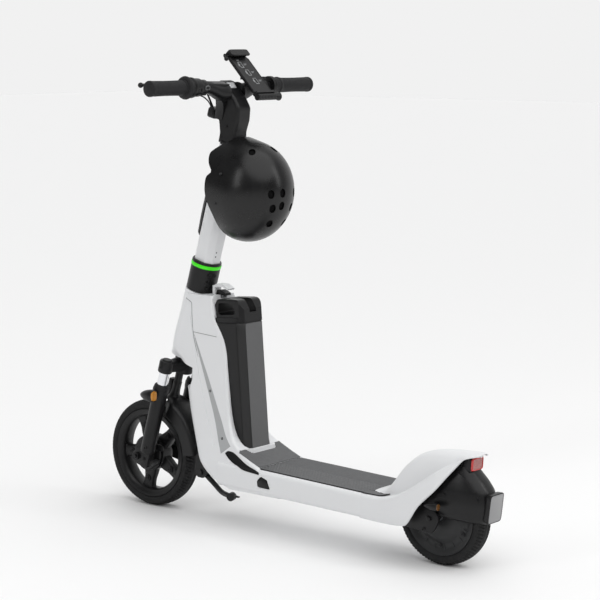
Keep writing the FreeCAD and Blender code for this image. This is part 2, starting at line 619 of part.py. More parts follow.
# ---- rear end -----------------------------------------------------------------------------
def fender_dome(inset, reach_down):
    """Rear fender's side outline filled across the wheel and rounded at the back."""
    half = DROPOUT_Y - 1 - inset
    outline = [(-452 - inset, 132 - reach_down), (-617 + inset, 117 - reach_down), (-636 + inset, 168),
               (-630 + inset, 210), (-601 + inset, 244 - inset), (-578, 272 - inset), (-530, 226 - inset),
               (-466 - inset, 160)]
    body = side_plate(outline, -half, half, [0, 0, 30, 30, 12, 8, 30, 8])

    def rear_corner(edge):
        centre = edge.CenterOfMass
        return centre.x < -590 and centre.z > 135 and abs(abs(centre.y) - half) < 0.1

    return softened(body, 24.0 - inset, rear_corner)


def rear_fender():
    """Black shell behind the tail, open below, with a liner that closes round the tyre under the tail."""
    wall = 3.0
    room = fender_dome(wall, 30)
    shell = fender_dome(0, 0).cut(room)
    liner_r = REAR_TYRE_R + 10
    liner_half = 38.0
    liner = ring(REAR_AXLE_X, -liner_half, REAR_TYRE_R, Y_AXIS, liner_r + wall, liner_r, 2 * liner_half)
    above = block(-590, -420, -liner_half, liner_half, REAR_TYRE_R + 60, 400)
    liner = liner.common(above).cut(room)
    shell = fused(shell, liner).cut(nodes["tail_cover"]).cut(nodes["main_frame"])
    shell = shell.cut(rod(REAR_AXLE_X, -30, REAR_TYRE_R, Y_AXIS, REAR_TYRE_R + 3, 60))
    shell = shell.cut(rod(REAR_AXLE_X, -100, REAR_TYRE_R, Y_AXIS, 12, 200))
    nodes["rear_fender"] = biggest(shell)


def tail_lights():
    bezel = side_plate([(-570, 246), (-590, 246), (-593, 284), (-572, 284)], -27, 27, [0, 3, 3, 0])
    lens = side_plate([(-588, 250), (-594, 250), (-596, 280), (-590, 280)], -23, 23)
    nodes["tail_cover"] = biggest(nodes["tail_cover"].cut(bezel).cut(lens))
    nodes["rear_fender"] = biggest(nodes["rear_fender"].cut(bezel).cut(lens))
    nodes["tail_light_lens"] = lens
    bezel = bezel.cut(lens)

    tilt = -7.0
    back = -641.0
    box = soft_block(back, back + 18, -30, 30, 126, 200, 3)
    box.rotate(Vector(back + 6, 0, 163), Y_AXIS, tilt)
    face = soft_block(back + 0.5, back + 4, -27, 27, 129, 197, 1.0)
    face.rotate(Vector(back + 6, 0, 163), Y_AXIS, tilt)
    bracket = side_plate([(-607, 188), (-627, 196), (-635, 130), (-619, 140)], -20, 20)
    bracket = bracket.cut(nodes["rear_fender"])
    holder = fused(box, bracket).cut(face).cut(nodes["rear_fender"])
    nodes["rear_light_brackets"] = Part.makeCompound([biggest(holder), bezel])
    nodes["reflector"] = face

    signal_y = 80.0
    housings, lenses = signal_pair(-523.0, signal_y, 163.0, 40.0, 8.5, 10.0)
    stalk = rod(-512, 50, 163, Y_AXIS, 5, signal_y - 54)
    stalk = both_sides(stalk).cut(nodes["rear_fender"])
    outside = block(-560, -470, 58, 120, 100, 200)
    stalk = stalk.common(both_sides(outside))
    nodes["rear_signal_housings"] = fused(housings, stalk).cut(lenses)
    nodes["rear_signal_lenses"] = lenses


def rear_axle_parts():
    x, z = REAR_AXLE_X, REAR_TYRE_R
    plate_y = DROPOUT_Y
    plate = side_plate([(-405, 101), (-448, 160), (-478, 152), (-505, 142), (-514, 127), (-503, 104), (-492, 90)],
                       plate_y, plate_y + 6, [0, 0, 8, 12, 8, 8, 10])
    plate = plate.cut(rod(x, 0, z, Y_AXIS, AXLE_R, 200))
    second_x, second_z = -472.0, 108.0
    plate = plate.cut(rod(second_x, 0, second_z, Y_AXIS, 4, 200))
    plates = both_sides(plate).cut(nodes["tail_cover"]).cut(nodes["main_frame"]).cut(nodes["rear_fender"])
    nodes["rear_dropouts"] = plates
    nodes["rear_signal_housings"] = nodes["rear_signal_housings"].cut(plates)
    half = plate_y + 16
    spacer = rod(x, 27, z, Y_AXIS, 10, plate_y - 27)
    shank = plate_y + 14 + NUT_REVEAL
    axle = fused(rod(x, -half, z, Y_AXIS, AXLE_END_R, 2 * half), rod(x, -shank, z, Y_AXIS, AXLE_R, 2 * shank),
                 spacer, mirrored(spacer))
    nuts = [ring(x, y, z, Y_AXIS, 11, AXLE_R, 8) for y in (-plate_y - 14, plate_y + 6)]
    bolt = rod(second_x, plate_y - 2, second_z, Y_AXIS, 4, 10).fuse(
        rod(second_x, plate_y + 6, second_z, Y_AXIS, 7, 4))
    nodes["rear_axle_and_nuts"] = Part.makeCompound([axle, bolt, mirrored(bolt)] + nuts)


# ---- kickstand ----------------------------------------------------------------------------
def kickstand():
    cheek = [(240, 139), (262, 186), (290, 178), (295, 124), (284, 117), (266, 116)]
    near = side_plate(cheek, STAND_Y + 8, STAND_Y + 13, [0, 0, 4, 8, 6, 6])
    far = side_plate(cheek, STAND_Y - 13, STAND_Y - 8, [0, 0, 4, 8, 6, 6])
    bridge = side_plate([(262, 186), (290, 178), (291, 160), (255, 164)], STAND_Y - 9, STAND_Y + 9)
    bracket = fused(near, far, bridge).cut(rod(STAND_X, 0, STAND_Z, Y_AXIS, 5, 100))
    bracket = biggest(bracket.cut(nodes["main_frame"]))
    bolt = rod(STAND_X, STAND_Y - 16, STAND_Z, Y_AXIS, 5 - RUN_FIT, 32).fuse(
        Part.makeCompound([rod(STAND_X, y, STAND_Z, Y_AXIS, 6, 5) for y in (STAND_Y - 13, STAND_Y + 8)]))
    head = rod(STAND_X, STAND_Y + 13, STAND_Z, Y_AXIS, 8, 4)
    nodes["kickstand_bracket"] = fused(bracket, bolt, head)
    knuckle = rod(STAND_X, STAND_Y - 7.5, STAND_Z, Y_AXIS, 11, 15)
    leg_points = [(STAND_X - 4, STAND_Y, STAND_Z - 4), (232, STAND_Y + 2, 102), (196, STAND_Y + 16, 88),
                  (152, STAND_Y + 34, 88)]
    leg = cable(leg_points, 7.0)
    arm = fused(knuckle, leg).cut(rod(STAND_X, 0, STAND_Z, Y_AXIS, 5, 100))
    foot = rod(146, STAND_Y + 28, 88, Vector(-0.3, 1, 0), 11, 16)
    fin = side_plate([(176, 92), (128, 88), (128, 85), (166, 80)], STAND_Y + 20, STAND_Y + 25)
    arm = fused(arm, fin, foot)
    nodes["kickstand_arm"] = biggest(arm.cut(nodes["main_frame"]))


# ---- battery ------------------------------------------------------------------------------
def battery():
    cap_low = BATTERY_LENGTH
    case = battery_prism(0, 0, cap_low)
    wall = 2.5
    room = flat_plate([(wall, -BATTERY_HALF + 16), (wall, BATTERY_HALF - 16), (16, BATTERY_HALF - wall),
                       (BATTERY_DEPTH - wall, BATTERY_HALF - wall), (BATTERY_DEPTH - wall, -BATTERY_HALF + wall),
                       (16, -BATTERY_HALF + wall)], wall, cap_low + 1)
    nodes["battery_case"] = leaned(case.cut(room))
    cells = block(18, BATTERY_DEPTH - 6, -44, 44, 8, cap_low - 20)
    nodes["battery_cells"] = leaned(cells)
    height = CAP_HEIGHT
    half = BATTERY_HALF - 5
    slot_half = 13.0
    cap = side_plate([(0, cap_low), (0, cap_low + 34), (14, cap_low + height - 2), (30, cap_low + height),
                      (86, cap_low + height), (96, cap_low + height - 14), (90, cap_low + 10), (80, cap_low)],
                     -half, half, [0, 6, 14, 10, 8, 6, 6, 0])
    long_sides = lambda e: abs(abs(e.CenterOfMass.y) - half) < 0.1 and e.CenterOfMass.z > cap_low + 12
    cap = softened(cap, 4.0, long_sides)
    cap = cap.cut(block(-10, 62, -slot_half, slot_half, cap_low + 26, cap_low + 100))
    window = side_plate([(28, cap_low + 22), (22, cap_low + 30), (36, cap_low + height - 10),
                         (80, cap_low + height - 10), (84, cap_low + 26), (76, cap_low + 20)], -60, 60, 5)
    cap = cap.cut(window)
    corner = flat_plate([(0, -half + 10), (0, half - 10), (10, half), (120, half), (120, -half), (10, -half)],
                        cap_low, cap_low + 90, 2)
    nodes["battery_cap"] = biggest(leaned(cap.common(corner)))


def hook_and_latch():
    hook = side_plate([(214, 626), (232, 634), (254, 632), (262, 628), (262, 636), (252, 641), (230, 641),
                       (210, 630)], -13, 13)
    hook = hook.fuse(side_plate([(258, 604), (266, 606), (266, 636), (258, 632)], -13, 13))
    nodes["bag_hook"] = biggest(hook.cut(nodes["main_frame"]))
    pivot_x, pivot_z = 247.0, 616.0
    latch = side_plate([(254, 608), (254, 624), (240, 625), (222, 617), (222, 611), (242, 611)], -11, 11,
                       [3, 5, 5, 2, 2, 0])
    latch = latch.cut(rod(pivot_x, -20, pivot_z, Y_AXIS, 2.5, 40))
    nodes["battery_latch"] = latch
    pin = rod(pivot_x, -14, pivot_z, Y_AXIS, 2.5 - RUN_FIT, 28)
    ears = [block(pivot_x - 5, pivot_x + 9, y, y + 3, 596, pivot_z + 4) for y in (-14.5, 11.5)]
    bracket = fused(nodes["bag_hook"], ears[0], ears[1], pin).cut(nodes["main_frame"])
    nodes["bag_hook"] = biggest(bracket)


# ---- stem, collar and neck ----------------------------------------------------------------
def octagon(level, depth, width, cut, shift=0.0):
    a, b = depth / 2, width / 2
    points = [Vector(shift + x, y, level) for x, y in
              [(a - cut, b), (-a + cut, b), (-a, b - cut), (-a, -b + cut), (-a + cut, -b), (a - cut, -b),
               (a, -b + cut), (a, b - cut)]]
    return Part.makePolygon(points + [points[0]])


def stem():
    spigot_r = 30.0
    tube = Part.Face(octagon(COLLAR_TOP, STEM_DEPTH, STEM_WIDTH, 15)).extrude(Vector(0, 0, STEM_TOP - COLLAR_TOP))
    bore = Part.Face(octagon(COLLAR_TOP, STEM_DEPTH - 2 * STEM_WALL, STEM_WIDTH - 2 * STEM_WALL, 13))
    tube = tube.cut(bore.extrude(Vector(0, 0, 1000)).translated(Vector(0, 0, 8)))
    spigot = rod(0, 0, HEAD_TOP + 6, Z_AXIS, spigot_r, COLLAR_TOP - HEAD_TOP - 4)
    tube = tube.fuse(spigot).cut(rod(0, 0, HEAD_TOP, Z_AXIS, STEERER_R, 120))
    holes = [rod(-60, 6, level, X_AXIS, 2.0, 40) for level in (750, 764)]
    tube = tube.cut(Part.makeCompound(holes))
    nodes["stem_tube"] = steered(tube)
    collar = ring(0, 0, HEAD_TOP + BODY_GAP, Z_AXIS, COLLAR_R, spigot_r, COLLAR_TOP - HEAD_TOP - BODY_GAP)
    collar = collar.cut(rod(0, 0, HEAD_TOP, Z_AXIS, spigot_r, 7))
    green_low = COLLAR_TOP - 16
    green = ring(0, 0, green_low, Z_AXIS, COLLAR_R + 0.8, COLLAR_R - 3, 10)
    slit = block(-COLLAR_R - 2, -COLLAR_R + 12, -1.5, 1.5, HEAD_TOP, green_low)
    slit.rotate(Vector(0, 0, 0), Z_AXIS, -18)
    collar = collar.cut(green).cut(slit)
    bolts = []
    for level in (HEAD_TOP + 16, HEAD_TOP + 54):
        bolt = rod(-COLLAR_R + 4.5, -14, level, Y_AXIS, 3.2, 36)
        bolts.append(bolt)
    bolts = Part.makeCompound(bolts)
    bolts.rotate(Vector(0, 0, 0), Z_AXIS, -18)
    nodes["collar_clamp"] = steered(Part.makeCompound([biggest(collar.cut(bolts)), bolts]))
    nodes["green_ring"] = steered(green)


def neck_outline():
    return [(-32, STEM_TOP), (-19, 1096), (-21, 1130), (-15, 1163), (8, 1184), (34, 1197), (58, 1212), (72, 1212),
            (77, 1196), (74, 1162), (64, 1138), (44, 1108), (33, 1080), (32, STEM_TOP)]


def neck():
    half = 27.0
    wall = 5.0
    corner_radii = [0, 40, 40, 25, 20, 0, 6, 6, 8, 20, 20, 30, 20, 0]
    body = side_plate(neck_outline(), -half, half, corner_radii)
    profile = Part.Face(rounded_wire([Vector(x, -half + wall, z) for x, z in neck_outline()], corner_radii))
    room = profile.makeOffset2D(-wall).extrude(Vector(0, 2 * (half - wall), 0))
    skin = lambda e: abs(abs(e.CenterOfMass.y) - half) < 0.1 and e.CenterOfMass.z < 1185
    body = softened(body, 9.0, skin)
    plug = Part.Face(octagon(STEM_TOP - 30, STEM_DEPTH - 2 * STEM_WALL - 0.2, STEM_WIDTH - 2 * STEM_WALL - 0.2, 13))
    body = body.cut(room).fuse(plug.extrude(Vector(0, 0, 34)))
    collar = Part.Face(octagon(STEM_TOP, STEM_DEPTH, STEM_WIDTH, 15)).extrude(Vector(0, 0, 8))
    body = body.fuse(collar)
    body = body.cut(rod(BAR_FORWARD, -60, BAR_LEVEL - BAR_DROP, Y_AXIS, BAR_R, 120))
    pocket = side_plate([(60, 1180), (12, 1160), (0, 1128), (4, 1080), (24, 1068), (40, 1112), (62, 1146)],
                        half - 1.6, half + 1, [6, 8, 12, 6, 6, 10, 8])
    body = body.cut(pocket).cut(mirrored(pocket))
    display = display_solid()
    nodes["display_panel"] = steered(display)
    body = body.cut(display)
    nodes["neck_casting"] = steered(body)

    shroud_half = 105.0
    wires = []
    for y, high, deep, drop in ((half + 0.1, 25, 27, BAR_DROP), (50, 22, 24, BAR_DROP), (80, 18.5, 19, 5),
                                (shroud_half, 15.5, 15.5, 0)):
        centre = Vector(BAR_FORWARD, y, BAR_LEVEL - drop)
        if deep > high:
            curve = Part.Ellipse(centre + Vector(deep, 0, 0), centre + Vector(0, 0, high), centre)
        elif high > deep:
            curve = Part.Ellipse(centre + Vector(0, 0, high), centre + Vector(deep, 0, 0), centre)
        else:
            curve = Part.Circle(centre, Y_AXIS, deep)
        wires.append(Part.Wire([curve.toShape()]))
    shroud = Part.makeLoft(wires, True).cut(bar_rod(BAR_R))
    nodes["bar_shrouds"] = steered(both_sides(shroud))

    light = soft_block(66, 92, -21, 21, 1104, 1134, 4).cut(body)
    lens = block(90, 94, -17, 17, 1109, 1130)
    nodes["headlight"] = biggest(steered(light.fuse(lens)))


def display_solid():
    outline = [(37.4, 1198.0), (56.6, 1210.0), (55.7, 1211.5), (36.5, 1199.5)]
    return side_plate(outline, -24, 24)


# ---- handlebar and controls ---------------------------------------------------------------
def along_bar(y, radius, length, forward=0.0, up=0.0):
    return rod(BAR_FORWARD + forward, y, BAR_LEVEL + up, Y_AXIS, radius, length)


def bar_rod(radius):
    """Handlebar: straight under the grips, a little lower where the neck holds it."""
    low = BAR_LEVEL - BAR_DROP
    end = BAR_END - 4
    points = [(BAR_FORWARD, -end, BAR_LEVEL), (BAR_FORWARD, -88, BAR_LEVEL), (BAR_FORWARD, -48, low),
              (BAR_FORWARD, 48, low), (BAR_FORWARD, 88, BAR_LEVEL), (BAR_FORWARD, end, BAR_LEVEL)]
    return cable(points, radius)


def handlebar():
    nodes["handlebar_tube"] = steered(bar_rod(BAR_R).cut(bar_rod(BAR_R - 2.5)))
    inner = BAR_END - GRIP_LENGTH
    grip = along_bar(inner, GRIP_R, GRIP_LENGTH).cut(along_bar(inner - 1, BAR_R, GRIP_LENGTH - 3))
    grip = softened(grip, 2.5, lambda e: e.CenterOfMass.y > BAR_END - 0.5)
    flange = ring(BAR_FORWARD, inner - 8, BAR_LEVEL, Y_AXIS, 29, BAR_R, 9)
    flange = softened(flange, 3.0, lambda e: e.Length > 150)
    nodes["grips"] = steered(Part.makeCompound([fused(grip, flange), mirrored(grip)]))

    pod_in, pod_out = 132.0, inner - 10
    pod = along_bar(pod_in, 23, pod_out - pod_in)
    pod = softened(pod, 3.0, lambda e: e.Length > 100).cut(along_bar(pod_in - 1, BAR_R, 60))
    band = ring(BAR_FORWARD, pod_out - 14, BAR_LEVEL, Y_AXIS, 26.5, 22, 6)
    pod = pod.fuse(band)
    perch_in = 110.0
    clamp = soft_block(BAR_FORWARD - 19, BAR_FORWARD + 22, perch_in, pod_in - 1, BAR_LEVEL - 19, BAR_LEVEL + 19, 4)
    clamp = clamp.cut(along_bar(perch_in - 1, BAR_R, 60))

    lever_x = BAR_FORWARD + 34
    pivot_y = perch_in + 30
    perch_arm = block(BAR_FORWARD + 12, lever_x + 9, perch_in + 4, pivot_y + 9, BAR_LEVEL - 13, BAR_LEVEL - 1)
    perch_arm = perch_arm.cut(along_bar(60, 26.8, 300).common(block(-100, 200, pod_in - 1, 300, 1000, 1400)))
    slot = block(lever_x - 9, lever_x + 12, pivot_y - 12, pivot_y + 12, BAR_LEVEL - 10.2, BAR_LEVEL - 3.8)
    perch = fused(clamp, perch_arm).cut(slot)
    pin = rod(lever_x, pivot_y, BAR_LEVEL - 12, Z_AXIS, 2.5 - RUN_FIT, 10)
    nodes["control_pods"] = steered(fused(biggest(perch.fuse(pin)), pod))
    tip_y = 291.0
    blade = flat_plate([(lever_x - 6, pivot_y - 6), (lever_x + 6, pivot_y - 6), (lever_x + 14, pivot_y + 40),
                        (lever_x + 12, tip_y), (lever_x + 4, tip_y), (lever_x + 4, pivot_y + 46)],
                       BAR_LEVEL - 9.8, BAR_LEVEL - 4.2, [4, 4, 20, 3, 3, 16])
    blade = blade.cut(rod(lever_x, pivot_y, BAR_LEVEL - 30, Z_AXIS, 2.5, 60))
    ball = Part.makeSphere(7, Vector(lever_x + 8, tip_y, BAR_LEVEL - 7))
    nodes["brake_lever"] = steered(fused(blade, ball))

    nodes["switch_buttons"] = steered(Part.makeCompound([
        soft_block(BAR_FORWARD - 27, BAR_FORWARD - 23.9, y, y + 9, BAR_LEVEL - 5, BAR_LEVEL + 5, 1.2)
        for y in (136, 148)]))

    throttle_in = -inner + 2
    sleeve = ring(BAR_FORWARD, throttle_in, BAR_LEVEL, Y_AXIS, 21.5, BAR_R + RUN_FIT, 24)
    nodes["throttle_sleeve"] = steered(sleeve)
    housing = ring(BAR_FORWARD, throttle_in + 24 + BODY_GAP, BAR_LEVEL, Y_AXIS, 25, BAR_R, 14)
    nodes["control_pods"] = Part.makeCompound([nodes["control_pods"], steered(housing)])

    route = [(lever_x - 2, perch_in - 1, BAR_LEVEL - 7), (lever_x + 2, 84, BAR_LEVEL - 12),
             (lever_x + 4, 56, BAR_LEVEL - 24), (BAR_FORWARD + 34, 34, BAR_LEVEL - 44),
             (BAR_FORWARD + 30, 18, BAR_LEVEL - 66)]
    hose = steered(cable(route, 2.5))
    nodes["brake_cable"] = biggest(hose.cut(nodes["neck_casting"]).cut(nodes["bar_shrouds"]))


# ---- phone holder -------------------------------------------------------------------------
def holder_place(shape):
    """Plate frame: x across, y up the plate, z out of its face; placed over the bar, facing the rider."""
    copy = shape.copy()
    copy.rotate(Vector(0, 0, 0), Z_AXIS, -90)
    copy.rotate(Vector(0, 0, 0), Y_AXIS, -HOLDER_TILT)
    copy.translate(Vector(189, HOLDER_Y, 1197))
    return copy


def phone_holder():
    half_w, half_l = 36.0, 68.0
    plate = block(-half_w, half_w, -half_l, half_l - 8, -4, 4)
    plate = plate.makeFillet(2.0, [e for e in plate.Edges if abs(e.tangentAt(0).y) > 0.9])
    rods = [rod(x, half_l - 30, 0, Y_AXIS, 2.5, 50) for x in (-20, 20)]
    plate = plate.cut(Part.makeCompound([rod(x, half_l - 31, 0, Y_AXIS, 2.5 + RUN_FIT, 60) for x in (-20, 20)]))
    ledge = block(-half_w, half_w, -half_l - 6, -half_l, -6, 10)
    ledge = fused(plate, ledge)
    roller = rod(-half_w, -half_l - 14.5, 2, X_AXIS, 9, 2 * half_w + 1)
    knob = Part.makeCone(7, 11, 16, Vector(half_w + 0.5, -half_l - 14.5, 2), X_AXIS)
    nodes["holder_plate"] = holder_place(fused(ledge, roller, knob))
    jaw = block(-half_w - 1, half_w + 1, half_l - 7, half_l + 7, -8, 12)
    lip = block(-half_w - 1, half_w + 1, half_l - 14, half_l + 7, 12, 17)
    jaw = fused(jaw, lip)
    jaw = jaw.makeFillet(2.0, [e for e in jaw.Edges if abs(e.tangentAt(0).x) > 0.9])
    lever = rod(-half_w - 14, half_l - 2, 3, X_AXIS, 4, 12.5)
    knuckle = Part.makeSphere(6, Vector(-half_w - 14, half_l - 14, 3))
    arm = block(-half_w - 17, half_w * -1 - 11, half_l - 14, half_l, 0, 6)
    nodes["holder_upper_jaw"] = holder_place(fused(jaw, lever, knuckle, arm, *rods))

    rail = holder_place(block(-14, 14, -30, 14, -14, -4.3))
    bar_centre = steered_point(BAR_FORWARD, 0, BAR_LEVEL)
    clamp = rod(bar_centre.x, HOLDER_Y - 76, bar_centre.z, Y_AXIS, 16, 18)
    foot = block(bar_centre.x - 10, bar_centre.x + 8, HOLDER_Y - 76, HOLDER_Y + 8, bar_centre.z + 17,
                 bar_centre.z + 24)
    clamp = fused(clamp, block(bar_centre.x - 9, bar_centre.x + 7, HOLDER_Y - 76, HOLDER_Y - 58,
                               bar_centre.z + 10, bar_centre.z + 24), foot)
    clamp = clamp.fuse(rail).cut(rod(bar_centre.x, -200, bar_centre.z, Y_AXIS, BAR_R + RUN_FIT, 200))
    clamp = clamp.cut(rod(bar_centre.x, -107, bar_centre.z - 11, Y_AXIS, 29, 200)).cut(nodes["holder_plate"])
    nodes["holder_clamp"] = biggest(clamp)


# ---- helmet -------------------------------------------------------------------------------
def helmet_bowl(outer_inset, inner_inset):
    """Shell of a half ball with its crown to the rear and a straight skirt ahead of it, round for now."""
    skirt = 72.0
    big = HELMET_HALF_LENGTH - outer_inset
    small = HELMET_HALF_LENGTH - inner_inset
    slant = math.sqrt(0.5)
    edges = [Part.Arc(Vector(-big, 0, 0), Vector(-big * slant, 0, big * slant), Vector(0, 0, big)).toShape(),
             Part.LineSegment(Vector(0, 0, big), Vector(skirt, 0, big)).toShape(),
             Part.LineSegment(Vector(skirt, 0, big), Vector(skirt, 0, small)).toShape(),
             Part.LineSegment(Vector(skirt, 0, small), Vector(0, 0, small)).toShape(),
             Part.Arc(Vector(0, 0, small), Vector(-small * slant, 0, small * slant), Vector(-small, 0, 0)).toShape(),
             Part.LineSegment(Vector(-small, 0, 0), Vector(-big, 0, 0)).toShape()]
    return Part.Face(Part.Wire(edges)).revolve(Vector(0, 0, 0), X_AXIS, 360)


def narrowed(shape):
    """Squeezes the round bowl to the helmet's width."""
    matrix = FreeCAD.Matrix()
    matrix.scale(HELMET_DEPTH / HELMET_HALF_LENGTH, HELMET_HALF_WIDTH / HELMET_HALF_LENGTH, 1.0)
    return shape.transformGeometry(matrix)


def helmet():
    gap = 1.0
    pad = 18.0
    shell = helmet_bowl(0, HELMET_WALL)
    brim = side_plate([(30, 150), (58, 88), (70, 66), (46, 38), (60, -20), (48, -60), (8, -118), (-20, -150),
                       (200, -150), (200, 150)], -200, 200, [0, 12, 12, 14, 14, 14, 14, 0, 0, 0])
    shell = shell.cut(brim)
    vent_r = 8.0
    vents = [rod(-200, y, level, X_AXIS, vent_r, 160) for y in (-42, 42) for level in (-52, -18, 18, 52)]
    vents += [rod(x, -200, level, Y_AXIS, vent_r, 400) for x, level in ((-10, 70), (-14, -74))]
    stem_room = block(50, 200, -50, 50, -300, 300)
    shell = biggest(shell.cut(Part.makeCompound(vents)).cut(stem_room))
    liner = helmet_bowl(HELMET_WALL + gap, HELMET_WALL + gap + pad)
    liner_edge = side_plate([(-4, 200), (34, 70), (20, 20), (34, -24), (16, -80), (-18, -200), (300, -200),
                             (300, 200)], -200, 200, [0, 10, 10, 10, 10, 0, 0, 0])
    liner = biggest(liner.cut(liner_edge))
    place = Vector(-HELMET_BACK, 0, HELMET_LEVEL)
    nodes["helmet_shell"] = steered(narrowed(shell).translated(place))
    nodes["helmet_liner"] = steered(narrowed(liner).translated(place))
    strap_y = 68.0
    strap = block(-2, 14, strap_y - 1, strap_y + 1, -52, 52)
    nodes["helmet_straps"] = steered(both_sides(strap).translated(place))
    lock = soft_block(-STEM_DEPTH / 2 - 26, -STEM_DEPTH / 2, -14, 14, HELMET_LEVEL - 20, HELMET_LEVEL + 20, 3)
    nodes["helmet_lock"] = steered(lock)


def build():
    front_wheel()
    rear_wheel()
    fork()
    front_brake_and_signals()
    deck_and_tail()
    rear_fender()
    tail_lights()
    rear_axle_parts()
    kickstand()
    battery()
    hook_and_latch()
    stem()
    neck()
    handlebar()
    phone_holder()
    helmet()
    os.makedirs("parts", exist_ok=True)
    for name, shape in nodes.items():
        box = shape.BoundBox
        print("%-24s solids %2d valid %s volume %10.0f  x %6.1f %6.1f  y %6.1f %6.1f  z %6.1f %6.1f" % (
            name, len(shape.Solids), shape.isValid(), shape.Volume, box.XMin, box.XMax, box.YMin, box.YMax,
            box.ZMin, box.ZMax))
        shape.exportStep("parts/%s.step" % name)
    print(len(nodes), "nodes")


build()
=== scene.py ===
import bmesh
import bpy
import json
import math
from mathutils import Matrix, Vector
from mathutils.bvhtree import BVHTree


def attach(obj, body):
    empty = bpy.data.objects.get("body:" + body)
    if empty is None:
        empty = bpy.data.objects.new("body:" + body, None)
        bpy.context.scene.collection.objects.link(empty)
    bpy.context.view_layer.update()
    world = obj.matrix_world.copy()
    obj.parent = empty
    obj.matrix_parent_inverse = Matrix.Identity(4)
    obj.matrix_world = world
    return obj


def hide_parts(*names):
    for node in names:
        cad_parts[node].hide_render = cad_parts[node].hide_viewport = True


# Looks of the electric kick scooter.  Metres, +X forward, +Y the rider's left, +Z up.  Shapes are drawn in
# millimetres, each in one of the placings below, which turn them into metres.

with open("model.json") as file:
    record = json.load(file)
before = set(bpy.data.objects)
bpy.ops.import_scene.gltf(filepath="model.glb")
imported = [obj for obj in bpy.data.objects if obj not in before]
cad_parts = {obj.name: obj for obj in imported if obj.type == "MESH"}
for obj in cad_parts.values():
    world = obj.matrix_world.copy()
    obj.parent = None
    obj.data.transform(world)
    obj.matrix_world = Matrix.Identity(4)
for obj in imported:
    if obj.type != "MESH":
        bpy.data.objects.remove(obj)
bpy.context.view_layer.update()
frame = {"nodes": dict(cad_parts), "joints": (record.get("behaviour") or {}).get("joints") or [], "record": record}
nodes = frame["nodes"]
joints = {joint["name"]: joint for joint in frame["joints"]}
MM = 0.001


# ---- places worked out from the frame -----------------------------------------------------
def joint_place(name):
    """Where a joint stands."""
    return Vector(joints[name]["pos_m"])


def joint_axis(name):
    """The way a joint turns or slides."""
    return Vector(joints[name]["axis"]).normalized()


STEER_UP = joint_axis("steering_head")
STEER_AT = joint_place("steering_head")
STEER_LEVEL = 0.550        # how far up the steering axis its joint stands
FRONT_AXLE = joint_place("front_wheel_spin")
REAR_AXLE = joint_place("rear_wheel_spin")
LEFT = Vector((0.0, 1.0, 0.0))


# ---- materials ----------------------------------------------------------------------------
class Shader:
    """A material's node tree with short ways to add what the looks below need."""

    def __init__(self, name, colour, rough, metallic=0.0, **inputs):
        self.material = bpy.data.materials.new(name)
        self.material.use_nodes = True
        tree = self.material.node_tree
        self.tree = tree
        self.surface = tree.nodes["Principled BSDF"]
        self.surface.inputs["Base Color"].default_value = (*colour, 1.0)
        self.surface.inputs["Roughness"].default_value = rough
        self.surface.inputs["Metallic"].default_value = metallic
        for key, value in inputs.items():
            self.surface.inputs[key.replace("_", " ")].default_value = value
        self.place = tree.nodes.new("ShaderNodeTexCoord").outputs["Object"]
        self.colour = colour
        self.normal = None

    def add(self, kind, **inputs):
        node = self.tree.nodes.new(kind)
        for key, value in inputs.items():
            socket = node.inputs[key.replace("_", " ")]
            if hasattr(value, "links") and hasattr(value, "is_output"):
                self.tree.links.new(value, socket)
            else:
                socket.default_value = value
        return node

    def noise(self, scale, detail=3.0):
        return self.add("ShaderNodeTexNoise", Vector=self.place, Scale=scale, Detail=detail).outputs["Fac"]

    def stretch(self, value, low, high):
        node = self.add("ShaderNodeMapRange", Value=value, To_Min=low, To_Max=high)
        node.inputs["From Min"].default_value = 0.3
        node.inputs["From Max"].default_value = 0.7
        return node.outputs["Result"]

    def vary_colour(self, scale, amount):
        """Gentle mottling of the base colour."""
        mix = self.tree.nodes.new("ShaderNodeMixRGB")
        mix.inputs["Color1"].default_value = (*[c * (1 - amount) for c in self.colour], 1.0)
        mix.inputs["Color2"].default_value = (*[min(c * (1 + amount), 1.0) for c in self.colour], 1.0)
        self.tree.links.new(self.noise(scale), mix.inputs["Fac"])
        self.tree.links.new(mix.outputs["Color"], self.surface.inputs["Base Color"])
        return self

    def vary_rough(self, scale, low, high):
        self.tree.links.new(self.stretch(self.noise(scale, 5.0), low, high),
                            self.surface.inputs["Roughness"])
        return self

    def bump(self, height, strength, distance):
        node = self.add("ShaderNodeBump", Height=height, Strength=strength, Distance=distance)
        if self.normal:
            self.tree.links.new(self.normal, node.inputs["Normal"])
        self.normal = node.outputs["Normal"]
        self.tree.links.new(self.normal, self.surface.inputs["Normal"])
        return self

    def grain(self, scale, strength, distance=0.0002):
        return self.bump(self.noise(scale, 4.0), strength, distance)

    def leather_cells(self, scale, strength, distance=0.0002):
        cells = self.add("ShaderNodeTexVoronoi", Vector=self.place, Scale=scale).outputs["Distance"]
        return self.bump(cells, strength, distance)


